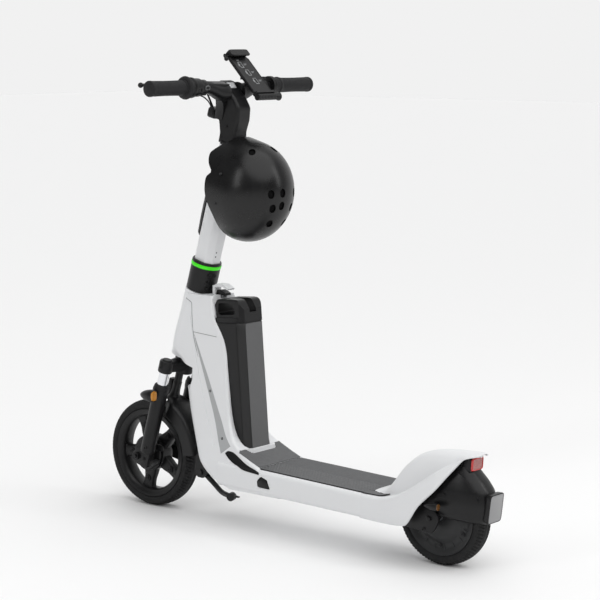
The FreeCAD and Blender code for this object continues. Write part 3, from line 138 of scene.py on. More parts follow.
def make_materials():
    """A material for each slot of the record, and the paints that set single pieces apart."""
    table = {}
    table["white_paint"] = Shader("white_powder_coat", (0.77, 0.778, 0.79), 0.42).vary_colour(9, 0.012)
    table["white_paint"].vary_rough(60, 0.36, 0.46).grain(900, 0.10)
    table["black_plastic"] = Shader("black_moulded_plastic", (0.006, 0.006, 0.0065), 0.34,
                                    Specular_IOR_Level=0.32)
    table["black_plastic"].vary_colour(30, 0.12).vary_rough(140, 0.30, 0.40).leather_cells(1600, 0.10)
    table["black_metal"] = Shader("black_powder_coat", (0.007, 0.007, 0.0075), 0.38, Specular_IOR_Level=0.3)
    table["black_metal"].vary_colour(20, 0.1).vary_rough(90, 0.32, 0.44).grain(1500, 0.12)
    table["grey_metal"] = Shader("dark_grey_powder_coat", (0.020, 0.0205, 0.0215), 0.42,
                                 Specular_IOR_Level=0.35)
    table["grey_metal"].vary_colour(20, 0.08).vary_rough(90, 0.36, 0.5).grain(1400, 0.12)
    table["chrome_slot"] = Shader("hard_chrome", (0.82, 0.83, 0.85), 0.08, 1.0).vary_rough(220, 0.05, 0.12)
    table["steel"] = Shader("zinc_plated_steel", (0.55, 0.56, 0.58), 0.32, 1.0)
    table["steel"].vary_colour(80, 0.08).vary_rough(200, 0.25, 0.42)
    table["tyre_rubber"] = Shader("tyre_rubber", (0.012, 0.012, 0.0125), 0.72, Specular_IOR_Level=0.3)
    table["tyre_rubber"].vary_colour(40, 0.15).vary_rough(120, 0.62, 0.82).grain(1200, 0.2)
    table["grip_rubber"] = Shader("grip_rubber", (0.012, 0.012, 0.013), 0.6, Specular_IOR_Level=0.3)
    table["grip_rubber"].vary_colour(40, 0.1).vary_rough(150, 0.5, 0.68).leather_cells(1800, 0.18)
    table["mat_rubber"] = Shader("deck_mat_rubber", (0.105, 0.107, 0.110), 0.62)
    table["mat_rubber"].vary_colour(50, 0.08).vary_rough(120, 0.55, 0.7).grain(1600, 0.15)
    table["battery_grey"] = Shader("battery_case_plastic", (0.095, 0.096, 0.098), 0.5)
    table["battery_grey"].vary_colour(25, 0.05).vary_rough(160, 0.44, 0.56).leather_cells(1500, 0.12)
    table["green_plastic"] = Shader("bright_green_plastic", (0.055, 0.90, 0.0),
                                    0.35).vary_rough(100, 0.3, 0.42)
    table["amber_lens"] = Shader("amber_lens", (0.58, 0.24, 0.025), 0.18,
                                 Coat_Weight=0.6).vary_colour(200, 0.08)
    table["red_lens"] = Shader("red_lens", (0.55, 0.02, 0.02), 0.2, Coat_Weight=0.6).vary_colour(150, 0.08)
    table["reflector_grey"] = Shader("prismatic_reflector", (0.27, 0.27, 0.275),
                                     0.3).leather_cells(700, 0.3)
    table["display_grey"] = Shader("display_window", (0.52, 0.53, 0.54), 0.15,
                                   Coat_Weight=0.8).vary_colour(60, 0.04)
    table["helmet_black"] = Shader("helmet_satin_black", (0.005, 0.005, 0.0053), 0.28,
                                   Specular_IOR_Level=0.38)
    table["helmet_black"].vary_colour(12, 0.08).vary_rough(40, 0.26, 0.32).grain(1800, 0.05)
    # Darker than the foam's own black: painted shade that makes the vent holes read deep.
    table["foam"] = Shader("black_pad_foam", (0.004, 0.004, 0.0042), 0.9,
                           Specular_IOR_Level=0.1).vary_colour(200, 0.2).leather_cells(900, 0.5)
    table["webbing"] = Shader("black_webbing", (0.02, 0.02, 0.021), 0.85)
    weave = table["webbing"].add("ShaderNodeTexWave", Vector=table["webbing"].place, Scale=600.0)
    table["webbing"].bump(weave.outputs["Fac"], 0.6, 0.0004).vary_colour(300, 0.15)
    # Darker copy of the battery plastic: painted shade on the battery's sides, against the lighter rear face.
    table["battery_side"] = Shader("battery_side_panel", (0.016, 0.016, 0.0165), 0.4,
                                   Specular_IOR_Level=0.4)
    table["battery_side"].vary_colour(25, 0.05).vary_rough(160, 0.36, 0.46).leather_cells(1500, 0.1)
    table["dark_amber"] = Shader("smoked_amber_lens", (0.13, 0.055, 0.012), 0.2,
                                 Coat_Weight=0.6).vary_colour(200, 0.1)
    table["copper"] = Shader("copper_windings", (0.55, 0.27, 0.13), 0.4, 1.0).vary_colour(100, 0.1)
    table["white_plastic"] = Shader("white_moulding", (0.77, 0.778, 0.79), 0.36, Coat_Weight=0.15)
    table["white_plastic"].vary_colour(9, 0.012).vary_rough(70, 0.32, 0.4)
    table["silver_grey"] = Shader("silver_grey_print", (0.42, 0.43, 0.44), 0.4).vary_colour(90, 0.06)
    table["pale_grey"] = Shader("lit_segments", (0.8, 0.81, 0.82), 0.4).vary_colour(90, 0.03)
    table["pale_red"] = Shader("tail_light_diffuser", (0.42, 0.14, 0.13), 0.25,
                               Coat_Weight=0.6).vary_colour(200, 0.1)
    table["seam_grey"] = Shader("shadow_line", (0.28, 0.285, 0.29), 0.7).vary_colour(100, 0.05)
    # Grey strip along the frame's groove: painted shade of the recess.
    table["groove_grey"] = Shader("grey_inlay", (0.40, 0.407, 0.415),
                                  0.5).vary_colour(60, 0.03).grain(900, 0.1)
    return {slot: shader.material for slot, shader in table.items()}


materials = make_materials()


def dress_cad_nodes():
    """Gives each CAD piece the material of its slot."""
    slots = {part["node"]: part["material_slot"] for part in frame["record"]["subparts"]}
    for name, node in nodes.items():
        material = materials[slots[name]]
        if not node.material_slots:
            node.data.materials.append(material)
        for slot in node.material_slots:
            slot.material = material


# ---- stage --------------------------------------------------------------------------------
FLOOR_HALF = 30.0
FLOOR_SHADE = (0.90, 0.90, 0.90)
BRIGHT_SIDE = (0.634, -0.774, 0.0)       # the level way the camera looks
BRIGHT_FADE = (-0.25, 0.6)               # where round the backdrop its light fades in
BACKDROP_LIGHT = (0.12, 0.88)            # strength behind the camera and ahead of it
SUN_POWER = 2.1
SUN_SPREAD = 80.0
SUN_WAY = (0.55, -0.25, -1.0)
SOFTBOX_AIM = (0, 0, 0.7)
SOFTBOX_WIDTH = 0.6
SOFTBOX_HEIGHT = 2.4
CAMERA_EYE = (-3.1641, 3.8322, 1.2937)
CAMERA_YAW = 50.683                      # degrees to the rider's right of straight ahead
CAMERA_PITCH = 7.748                     # degrees below level
LENS_MM = 115.9
SENSOR_MM = 36.0
FARTHEST = 100.0


def pale_floor():
    floor_mesh = bpy.data.meshes.new("floor")
    work = bmesh.new()
    bmesh.ops.create_grid(work, x_segments=8, y_segments=8, size=FLOOR_HALF)
    work.to_mesh(floor_mesh)
    work.free()
    floor = bpy.data.objects.new("floor", floor_mesh)
    bpy.context.scene.collection.objects.link(floor)
    look = Shader("pale_floor", FLOOR_SHADE, 0.95).vary_rough(3, 0.88, 0.95)
    floor_mesh.materials.append(look.material)


def backdrop():
    """White surroundings, bright ahead of the camera and dim behind it."""
    world = bpy.data.worlds.new("studio")
    bpy.context.scene.world = world
    world.use_nodes = True
    bpy.context.scene.view_settings.view_transform = "Standard"
    tree = world.node_tree
    place = tree.nodes.new("ShaderNodeTexCoord")
    facing = tree.nodes.new("ShaderNodeVectorMath")
    facing.operation = "DOT_PRODUCT"
    facing.inputs[1].default_value = BRIGHT_SIDE
    fade = tree.nodes.new("ShaderNodeMapRange")
    fade.interpolation_type = "SMOOTHSTEP"
    for key, value in zip(("From Min", "From Max", "To Min", "To Max"), BRIGHT_FADE + BACKDROP_LIGHT):
        fade.inputs[key].default_value = value
    tree.links.new(place.outputs["Generated"], facing.inputs[0])
    tree.links.new(facing.outputs["Value"], fade.inputs["Value"])
    background = tree.nodes["Background"]
    background.inputs["Color"].default_value = (1.0, 1.0, 1.0, 1.0)
    tree.links.new(fade.outputs["Result"], background.inputs["Strength"])


def overhead_sun():
    overhead = bpy.data.lights.new("overhead", "SUN")
    overhead.energy = SUN_POWER
    overhead.angle = math.radians(SUN_SPREAD)
    lamp = bpy.data.objects.new("overhead", overhead)
    lamp.rotation_euler = Vector(SUN_WAY).to_track_quat("-Z", "Y").to_euler()
    bpy.context.scene.collection.objects.link(lamp)


def softbox(name, place, power):
    """Upright strip light aimed at the middle of the scooter."""
    light = bpy.data.lights.new(name, "AREA")
    light.shape = "RECTANGLE"
    light.size = SOFTBOX_WIDTH
    light.size_y = SOFTBOX_HEIGHT
    light.energy = power
    lamp = bpy.data.objects.new(name, light)
    lamp.location = place
    lamp.rotation_euler = (Vector(SOFTBOX_AIM) - Vector(place)).to_track_quat("-Z", "Y").to_euler()
    bpy.context.scene.collection.objects.link(lamp)


def camera():
    yaw = math.radians(CAMERA_YAW)
    pitch = math.radians(CAMERA_PITCH)
    look = Vector((math.cos(yaw) * math.cos(pitch), -math.sin(yaw) * math.cos(pitch), -math.sin(pitch)))
    lens = bpy.data.cameras.new("camera")
    lens.sensor_width = SENSOR_MM
    lens.lens = LENS_MM
    lens.clip_end = FARTHEST
    holder = bpy.data.objects.new("camera", lens)
    holder.location = CAMERA_EYE
    holder.rotation_euler = look.to_track_quat("-Z", "Y").to_euler()
    bpy.context.scene.collection.objects.link(holder)
    bpy.context.scene.camera = holder


# ---- shapes -------------------------------------------------------------------------------
def turned_about_y(degrees):
    return Matrix.Rotation(math.radians(degrees), 4, "Y")


RAKE = 16.5                 # degrees the steering axis leans back
BATTERY_LEAN = 4.2          # degrees the battery leans forward
HOLDER_TILT = 46.0          # degrees the phone plate faces the rider
GROUND = Matrix.Scale(MM, 4)
STEER_FOOT = STEER_AT - STEER_UP * STEER_LEVEL
STEERED = Matrix.Translation(STEER_FOOT) @ turned_about_y(-RAKE) @ GROUND
LEANED = Matrix.Translation((0.1063, 0, 0.184)) @ turned_about_y(BATTERY_LEAN) @ GROUND
HELD = (Matrix.Translation((0.189, -0.05, 1.197)) @ turned_about_y(-HOLDER_TILT)
        @ Matrix.Rotation(math.radians(-90), 4, "Z") @ GROUND)
FRONT_WHEEL = Matrix.Translation(FRONT_AXLE) @ GROUND
REAR_WHEEL = Matrix.Translation(REAR_AXLE) @ GROUND
BAR_X = 44.3                # handlebar's line ahead of the steering axis, and its height up that axis
BAR_Z = 1202.5


def smooth_step(value, low, high):
    """Eases from 0 at low to 1 at high."""
    t = min(max((value - low) / (high - low), 0.0), 1.0)
    return t * t * (3 - 2 * t)


def eased(rows, steps):
    """Rows of measures with more rows between them, on smooth monotone curves."""
    columns = list(zip(*rows))
    gaps = [b - a for a, b in zip(columns[0], columns[0][1:])]
    slopes = []
    for column in columns:
        secants = [(b - a) / gap for a, b, gap in zip(column, column[1:], gaps)]
        inner = [0.0 if a * b <= 0 else 2 * a * b / (a + b) for a, b in zip(secants, secants[1:])]
        slopes.append([secants[0]] + inner + [secants[-1]])
    result = []
    for i, gap in enumerate(gaps):
        for step in range(steps):
            t = step / steps
            start = (2 * t ** 3 - 3 * t ** 2 + 1, (t ** 3 - 2 * t ** 2 + t) * gap)
            end = (3 * t ** 2 - 2 * t ** 3, (t ** 3 - t ** 2) * gap)
            result.append([start[0] * c[i] + start[1] * s[i] + end[0] * c[i + 1] + end[1] * s[i + 1]
                           for c, s in zip(columns, slopes)])
    result.append(list(rows[-1]))
    return result


def rounded_section(half_a, half_b, power, count):
    """Points round a softened rectangle."""
    points = []
    for i in range(count):
        angle = 2 * math.pi * i / count
        c, s = math.cos(angle), math.sin(angle)
        points.append((half_a * math.copysign(abs(c) ** (2 / power), c),
                       half_b * math.copysign(abs(s) ** (2 / power), s)))
    return points


def give_walls(bm, thickness):
    """A second skin behind the first one, joined to it along every open edge."""
    bm.normal_update()
    skin = list(bm.faces)
    inner = {vert: bm.verts.new(vert.co - vert.normal * thickness) for vert in list(bm.verts)}
    for edge in [e for e in bm.edges if len(e.link_faces) == 1]:
        loop = edge.link_loops[0]
        a, b = loop.vert, loop.link_loop_next.vert
        bm.faces.new((b, a, inner[a], inner[b]))
    for face in skin:
        bm.faces.new([inner[vert] for vert in reversed(face.verts)])


class Build:
    """Gathers the shapes of one piece, drawn in millimetres in its own placing."""

    def __init__(self, placing=GROUND):
        self.bm = bmesh.new()
        self.placing = placing

    def vert(self, point):
        return self.bm.verts.new(self.placing @ Vector(point))

    def face(self, verts):
        if len(set(verts)) > 2:
            try:
                self.bm.faces.new(verts)
            except ValueError:
                pass

    def skin(self, rows, round_rows=False, round_columns=False, caps=False):
        """Surface through rows of points."""
        grid = [[self.vert(point) for point in row] for row in rows]
        row_count = len(grid) if round_rows else len(grid) - 1
        column_count = len(grid[0]) if round_columns else len(grid[0]) - 1
        for i in range(row_count):
            upper, lower = grid[i], grid[(i + 1) % len(grid)]
            for j in range(column_count):
                k = (j + 1) % len(upper)
                self.face([upper[j], upper[k], lower[k], lower[j]])
        if caps:
            self.face(list(reversed(grid[0])))
            self.face(grid[-1])
        return self

    def lathe(self, profile, centre=(0, 0, 0), steps=96):
        """Closed profile of (radius, y) turned about a line along Y."""
        rows = []
        for i in range(steps):
            angle = 2 * math.pi * i / steps
            rows.append([(centre[0] + r * math.cos(angle), centre[1] + y, centre[2] + r * math.sin(angle))
                         for r, y in profile])
        return self.skin(rows, round_rows=True, round_columns=True)

    def lathe_up(self, middle_at, profile, steps=48):
        """Profile of (radius, height) turned about an upright line."""
        rows = []
        for i in range(steps):
            turn = 2 * math.pi * i / steps
            rows.append([(middle_at[0] + r * math.cos(turn), middle_at[1] + r * math.sin(turn), z) for r,
                         z in profile])
        return self.skin(rows, round_rows=True, round_columns=True)

    def prism(self, outline, offset):
        """Flat outline drawn out along offset."""
        base = [self.vert(point) for point in outline]
        top = [self.vert(Vector(point) + Vector(offset)) for point in outline]
        self.face(list(reversed(base)))
        self.face(top)
        for i in range(len(base)):
            k = (i + 1) % len(base)
            self.face([base[i], base[k], top[k], top[i]])
        return self

    def box(self, x0, x1, y0, y1, z0, z1):
        return self.prism([(x0, y0, z0), (x1, y0, z0), (x1, y1, z0), (x0, y1, z0)], (0, 0, z1 - z0))

    def rod(self, start, axis, radius, length, sides=32, end_radius=None):
        """Round bar, with a hex or round outline by its number of sides."""
        start = Vector(start)
        axis = Vector(axis).normalized()
        across = axis.orthogonal().normalized()
        other = axis.cross(across)
        rows = []
        for place, r in ((start, radius), (start + axis * length,
                                           radius if end_radius is None else end_radius)):
            rows.append([place + across * r * math.cos(2 * math.pi * i / sides)
                         + other * r * math.sin(2 * math.pi * i / sides) for i in range(sides)])
        return self.skin(rows, round_columns=True, caps=True)

    def bolt(self, start, axis, radius, height):
        """Socket-head screw: a rounded head with a hexagon hole."""
        start = Vector(start)
        axis = Vector(axis).normalized()
        across = axis.orthogonal().normalized()
        other = axis.cross(across)

        def around(r, up, sides=24):
            place = start + axis * up
            step = 24 // sides
            ring = []
            for i in range(24):
                angle = 2 * math.pi * (i // step * step) / 24 if sides == 6 else 2 * math.pi * i / 24
                if sides == 6:
                    share = (i % step) / step
                    first = Vector((math.cos(angle), math.sin(angle)))
                    second = Vector((math.cos(angle + math.pi / 3), math.sin(angle + math.pi / 3)))
                    spot = first.lerp(second, share)
                else:
                    spot = Vector((math.cos(angle), math.sin(angle)))
                ring.append(place + across * r * spot.x + other * r * spot.y)
            return ring

        rows = [around(radius, 0), around(radius, height * 0.7), around(radius * 0.85, height),
                around(radius * 0.55, height, 6), around(radius * 0.52, height * 0.35, 6)]
        return self.skin(rows, round_columns=True, caps=True)

    def tube(self, points, radius, sides=12, radii=None):
        """Round tube through points, with closed ends."""
        points = [Vector(p) for p in points]
        rows = []
        across = None
        for i, point in enumerate(points):
            ahead = points[min(i + 1, len(points) - 1)] - points[max(i - 1, 0)]
            ahead.normalize()
            if across is None:
                across = ahead.orthogonal().normalized()
            across = (across - ahead * across.dot(ahead)).normalized()
            other = ahead.cross(across)
            r = radii[i] if radii else radius
            rows.append([point + across * r * math.cos(2 * math.pi * k / sides)
                         + other * r * math.sin(2 * math.pi * k / sides) for k in range(sides)])
        return self.skin(rows, round_columns=True, caps=True)

    def loft(self, rings):
        """Closed body through rings of points."""
        return self.skin(rings, round_columns=True, caps=True)

    def ball(self, centre, radius, squash=(1, 1, 1), steps=20):
        rows = []
        for i in range(1, steps):
            lat = math.pi * i / steps
            rows.append([(centre[0] + squash[0] * radius * math.sin(lat) * math.cos(2 * math.pi * j / 32),
                          centre[1] + squash[1] * radius * math.sin(lat) * math.sin(2 * math.pi * j / 32),
                          centre[2] + squash[2] * radius * math.cos(lat)) for j in range(32)])
        return self.skin(rows, round_columns=True, caps=True)

    def done(self, name, slot, body, replaces=(), bevel=0.0, thickness=0.0, crease=38.0, paint=None):
        """Makes the object: bevels, walls, shading and what it stands for."""
        bm = self.bm
        bmesh.ops.remove_doubles(bm, verts=bm.verts, dist=1e-6)
        bmesh.ops.recalc_face_normals(bm, faces=bm.faces)
        if thickness:
            give_walls(bm, thickness * MM)
        if bevel:
            edges = [e for e in bm.edges if len(e.link_faces) == 2 and e.calc_face_angle(0) > math.radians(30)]
            bmesh.ops.bevel(bm, geom=edges, offset=bevel * MM, segments=2, profile=0.5, affect="EDGES",
                            clamp_overlap=True)
        for face in bm.faces:
            face.smooth = True
        limit = math.radians(crease)
        for edge in bm.edges:
            edge.smooth = not (len(edge.link_faces) == 2 and edge.calc_face_angle(0) > limit)
        mesh = bpy.data.meshes.new(name)
        bm.to_mesh(mesh)
        bm.free()
        mesh.materials.append(materials[paint or slot])
        obj = bpy.data.objects.new(name, mesh)
        bpy.context.scene.collection.objects.link(obj)
        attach(obj, body)
        if replaces:
            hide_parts(*replaces)
        return obj


def rounded_corners(corners, steps):
    """Closed outline through corners of (x, y, radius), each one rounded off."""
    outline = []
    for i, (x, y, r) in enumerate(corners):
        here = Vector((x, y))
        before = (Vector(corners[i - 1][:2]) - here).normalized()
        after = (Vector(corners[(i + 1) % len(corners)][:2]) - here).normalized()
        for k in range(steps + 1):
            t = k / steps
            outline.append(here + before * r * (1 - t) ** 2 + after * r * t ** 2)
    return outline


def curve_points(corners, count=8):
    """Smooth path through corners."""
    corners = [Vector(c) for c in corners]
    padded = [corners[0] * 2 - corners[1]] + corners + [corners[-1] * 2 - corners[-2]]
    points = []
    for i in range(1, len(padded) - 2):
        p0, p1, p2, p3 = padded[i - 1:i + 3]
        for step in range(count):
            t = step / count
            points.append(0.5 * (2 * p1 + (p2 - p0) * t + (2 * p0 - 5 * p1 + 4 * p2 - p3) * t * t
                                 + (3 * p1 - p0 - 3 * p2 + p3) * t ** 3))
    points.append(corners[-1])
    return points


# ---- tail and deck ------------------------------------------------------------------------
def tail():
    """Foot rest that kicks up over the rear wheel and narrows to a lip."""
    stations = [(-300, 101.6, 105, 165.8, 166.4, 60, 12), (-345, 101.4, 103, 166, 184, 64, 12),
                (-390, 101, 102, 173, 244, 66, 10), (-430, 98, 104, 191, 274, 65, 8),
                (-470, 92, 158, 217, 286, 62, 7), (-510, 81, 200, 247, 291, 56, 6),
                (-550, 56, 254, 273, 293, 41, 5), (-574, 40, 281, 286.5, 293.5, 30, 2),
                (-603, 16, 287, 291, 293.5, 10, 1.5)]
    rows = []
    for x, half, low, band, crest, pillow, soft in eased(stations, 14):
        side = [(half - 5, low)]
        room = band - soft - low
        side += [(half - 1.5, low + min(1, room * 0.1)), (half, low + min(4, room * 0.25))]
        side += [(half, low + (band - soft - low) * t) for t in (0.35, 0.7)]
        for i in range(7):
            angle = math.radians(90 * i / 6)
            side.append((half - soft + soft * math.cos(angle), band - soft + soft * math.sin(angle)))
        edge = min(pillow + 2, half - soft - 1)
        side.append((edge + 1.0, band + 0.2))
        swell = crest - band
        for i in range(1, 19):
            share = 1 - i / 18
            side.append((edge * share, band + swell * (1 - share ** 2.5) ** 0.64))
        row = [(x, y, z) for y, z in side]
        row += [(x, -y, z) for y, z in reversed(side[:-1])]
        rows.append(row)
    end = [(x - 1.5, y * 0.98, z - 0.6) for x, y, z in rows[-1]]
    Build().skin(rows + [end]).done("tail_skin", "white_plastic", "frame", ["tail_cover"], thickness=2.6,
                                    crease=50)


def deck_level(x):
    """Height of the deck's top, which rises gently to the front."""
    return 164.0 + (x + 373.0) * math.tan(math.radians(1.9))


def deck_mat():
    """Ribbed top of the mat with a smooth rim."""
    length_low, length_high = -312.0, 108.0
    rows = []
    steps = 250
    across = 96
    for i in range(steps + 1):
        x = length_low + (length_high - length_low) * i / steps
        half = 84.0 - 14.0 * (1 - smooth_step(x, length_low,
                                              length_low + 24)) - 5 * smooth_step(x, 100, 108)
        row = []
        for j in range(across + 1):
            y = half * (2 * j / across - 1)
            edge = min(half - abs(y), x - length_low, length_high - x)
            rib = max(0.0, math.cos((x + abs(y) * 0.7) * 2 * math.pi / 9.0)) ** 0.5
            inside = smooth_step(edge, 6, 8)
            height = 1.9 + 1.1 * rib * inside + 0.7 * (1 - inside) * smooth_step(edge, 0, 1.5)
            row.append((x, y, deck_level(x) + height))
        rows.append(row)
    Build().skin(rows).done("mat_top", "mat_rubber", "frame", ["deck_mat"], thickness=1.6, crease=60)


def mat_rear_arms():
    """Arms of the mat either side of the tail, and the dark trim round them."""
    arms = Build()
    trims = Build()
    for side in (-1, 1):
        rows = []
        for i in range(41):
            x = -298.0 - 78.0 * i / 40
            inner = 58.0 + 18.0 * smooth_step(-x, 318, 376)
            outer = 88.0 - 8.0 * smooth_step(-x, 362, 376)
            level = 168.6 + 7.0 * smooth_step(-x, 345, 390)
            rows.append([(x, side * (inner + (outer - inner) * k / 8), level) for k in range(9)])
        arms.skin(rows)
        outline = [row[0] for row in rows] + [row[-1] for row in reversed(rows)]
        trims.tube([(x, y, z - 0.6) for x, y, z in outline], 1.1, 8)
    arms.done("mat_rear_arms", "mat_rubber", "frame", thickness=2.4, crease=60)
    scallop = [(-312.0, y, 167.4) for y in range(-57, 58, 6)]
    trims.tube(scallop, 1.3, 8)
    trims.done("mat_rear_trim", "mat_rubber", "frame", paint="black_plastic")


def mat_edges():
    """Dark trim along both long edges of the mat."""
    rim = Build()
    for side in (-1, 1):
        path = [(x, side * 86.0, deck_level(x) + 0.9) for x in range(-300, 104, 12)]
        rim.tube(path, 1.5, 8)
    rim.done("mat_edge_trim", "mat_rubber", "frame", paint="black_plastic")


# ---- rear end -----------------------------------------------------------------------------
def fender():
    """Smooth bulging dome from the tail light down round the tyre."""
    levels = [(0.0, -474, -616, 134, 121, 45), (0.10, -466, -621, 142, 127, 53),
              (0.25, -452, -629, 153, 143, 58.5),
              (0.42, -455, -632, 172, 166, 60.5), (0.60, -470, -628, 196, 196,
                                                   57), (0.76, -495, -611, 220, 222, 50),
              (0.88, -520, -592, 240, 241, 41), (1.0, -545, -574, 262, 258, 31)]
    rows = []
    for _, front, rear, front_z, rear_z, half in eased(levels, 6):
        row = []
        for i in range(49):
            angle = math.radians(-90 + 180 * i / 48)
            y = half * math.copysign(abs(math.sin(angle)) ** 0.8, math.sin(angle))
            back = abs(math.cos(angle)) ** 0.72
            x = front + (rear - front) * back
            row.append((x, y, front_z + (rear_z - front_z) * back))
        rows.append(row)
    skin = Build().skin(rows)
    skin.done("fender_dome", "black_plastic", "frame", ["rear_fender"], thickness=2.4, crease=60)


def fender_liner():
    """Inner wall of the rear fender, round the tyre."""
    rows = []
    for i in range(40):
        angle = math.radians(28 + 128 * i / 39)
        rows.append([(137.5 * math.cos(angle) + r, y, 137.5 * math.sin(angle)) for r, y in
                     ((0, -37), (0, -12), (0, 12), (0, 37))])
    liner = Build(REAR_WHEEL).skin(rows)
    liner.done("fender_liner", "black_plastic", "frame", thickness=2.0)


def fender_slot():
    """Shade of the slot on the fender's left side."""
    slot_mark = Build()
    slot_mark.prism([(-505, 57.5, 187), (-513, 58.5, 193), (-524, 59, 194), (-531, 59, 191),
                     (-524, 59.2, 189),
                     (-514, 58.8, 187)], (0, 1.2, 0))
    slot_mark.done("fender_slot_shade", "black_plastic", "frame", paint="tyre_rubber")


def lamp_bullet(build, lens_x, y, z, length, half_width, half_height):
    """Housing of a turn signal, pointed at its front."""
    rings = []
    steps = 18
    for i in range(steps):
        t = i / (steps - 1)
        share = (1 - t ** 2.2) ** 0.75 if t < 1 else 0.0
        share = max(share, 0.02) * (0.93 + 0.07 * min(t * 6, 1.0))
        rings.append([(lens_x + length * t, y + a, z + b) for a, b in
                      rounded_section(half_width * share, half_height * share, 2.25, 40)])
    lip = [(lens_x - 1.5, y + a, z + b) for a,
           b in rounded_section(half_width * 0.9, half_height * 0.9, 2.25, 40)]
    inner = [(lens_x - 1.2, y + a, z + b) for a,
             b in rounded_section(half_width * 0.8, half_height * 0.8, 2.25, 40)]
    build.loft([inner, lip] + rings)


def lamp_lens(build, lens_x, y, z, half_width, half_height):
    """Lens of a turn signal with its ribs."""
    rings = []
    for depth, share in ((2.0, 0.80), (-0.8, 0.79), (-2.2, 0.7), (-2.8, 0.45), (-3.0, 0.1)):
        rings.append([(lens_x + depth, y + a, z + b) for a, b in
                      rounded_section(half_width * share, half_height * share, 2.6, 32)])
    build.loft(rings)
    count = 5
    for i in range(count):
        level = half_height * 0.6 * (2 * i / (count - 1) - 1)
        reach = half_width * 0.62 * math.sqrt(1 - (level / half_height) ** 2)
        build.box(lens_x - 3.5, lens_x - 2.2, y - reach, y + reach, z + level - 0.5, z + level + 0.5)


def signals():
    """Four turn signals on their short arms."""
    front = Build()
    front_lens = Build()
    rear = Build()
    rear_lens = Build()
    for side in (-1, 1):
        lamp_bullet(front, 401.5, side * 104, 331.0, 50.0, 16.0, 17.5)
        lamp_lens(front_lens, 401.5, side * 104, 331.0, 16.0, 17.5)
        front.rod((422, side * 84, 333), (0, side, 0), 7.5, 14, 24)
        lamp_bullet(rear, -523.0, side * 81, 163.0, 42.0, 9.0, 10.0)
        lamp_lens(rear_lens, -523.0, side * 81, 163.0, 9.0, 10.0)
        rear.rod((-508, side * 54, 163), (0, side, 0), 5.5, 24, 24)
    front.done("front_signal_bodies", "black_plastic", "fork_lowers", ["front_signal_housings"], crease=50)
    front_lens.done("front_signal_glass", "amber_lens", "fork_lowers", ["front_signal_lenses"], crease=40)
    rear.done("rear_signal_bodies", "black_plastic", "frame", ["rear_signal_housings"], crease=50)
    rear_lens.done("rear_signal_glass", "amber_lens", "frame", ["rear_signal_lenses"], crease=40,
                   paint="dark_amber")


def tail_light():
    """Framed lamp under the tail lip."""
    tilt = Matrix.Translation((-0.580, 0, 0.266)) @ turned_about_y(-4.0) @ GROUND
    surround = Build(tilt)
    surround.loft([[(x, a, b) for a, b in rounded_section(half, high, 7, 48)] for x, half, high in
                   ((22, 27, 19), (2, 28, 19.5), (-1, 27, 18.5), (-1, 24.5, 17))])
    surround.done("tail_light_surround", "black_plastic", "frame", crease=40)
    bezel = Build(tilt)
    bezel.skin([[(x, a, b) for a, b in rounded_section(half, high, 8, 48)] for x, half, high in
                ((0, 24, 16.5), (-4.6, 23.4, 16), (-5.6, 22.4, 15.2), (-5.6, 20.6, 13.4),
                 (-4.2, 20.2, 13))],
               round_columns=True)
    bezel.done("tail_light_rim", "red_lens", "frame", ["tail_light_lens"], crease=50)
    face = Build(tilt)
    face.prism([(-4.3, a, b) for a, b in rounded_section(20.4, 13.2, 8, 48)], (1.6, 0, 0))
    for i in range(5):
        level = 10.4 * (2 * i / 4 - 1)
        face.box(-4.9, -4.2, -19.4, 19.4, level - 0.35, level + 0.35)
    for i in range(7):
        across = 18.0 * (2 * i / 6 - 1)
        face.box(-4.7, -4.2, across - 0.3, across + 0.3, -12.2, 12.2)
    face.done("tail_light_face", "red_lens", "frame", paint="pale_red", crease=40)


def reflector_box():
    """Reflector in its case under the fender."""
    back = Matrix.Translation((-0.637, 0, 0.163)) @ turned_about_y(-7.0) @ GROUND
    case = Build(back)
    case.loft([[(x, a, b) for a, b in rounded_section(half, high, 9, 56)] for x, half, high in
               ((20, 22, 30), (13, 27.5, 35.5), (1, 29.5, 37.0), (-1.6, 29.2, 36.6), (-2.4, 28.2, 35.6),
                (-2.4, 27.4, 34.8), (-1.4, 27.0, 34.4))])
    case.loft([[(x, a, b + up) for a, b in rounded_section(half, high, 5, 32)] for x, half, high, up in
               ((16, 20, 28, 2), (26, 17, 26, 4), (40, 12, 18, 12))])
    case.done("reflector_case", "black_plastic", "frame", ["rear_light_brackets"], crease=40)
    plate = Build(back)
    plate.prism([(-2.0, a, b) for a, b in rounded_section(27.2, 34.6, 9, 56)], (2.0, 0, 0))
    plate.done("reflector_face", "reflector_grey", "frame", ["reflector"], bevel=0.4)


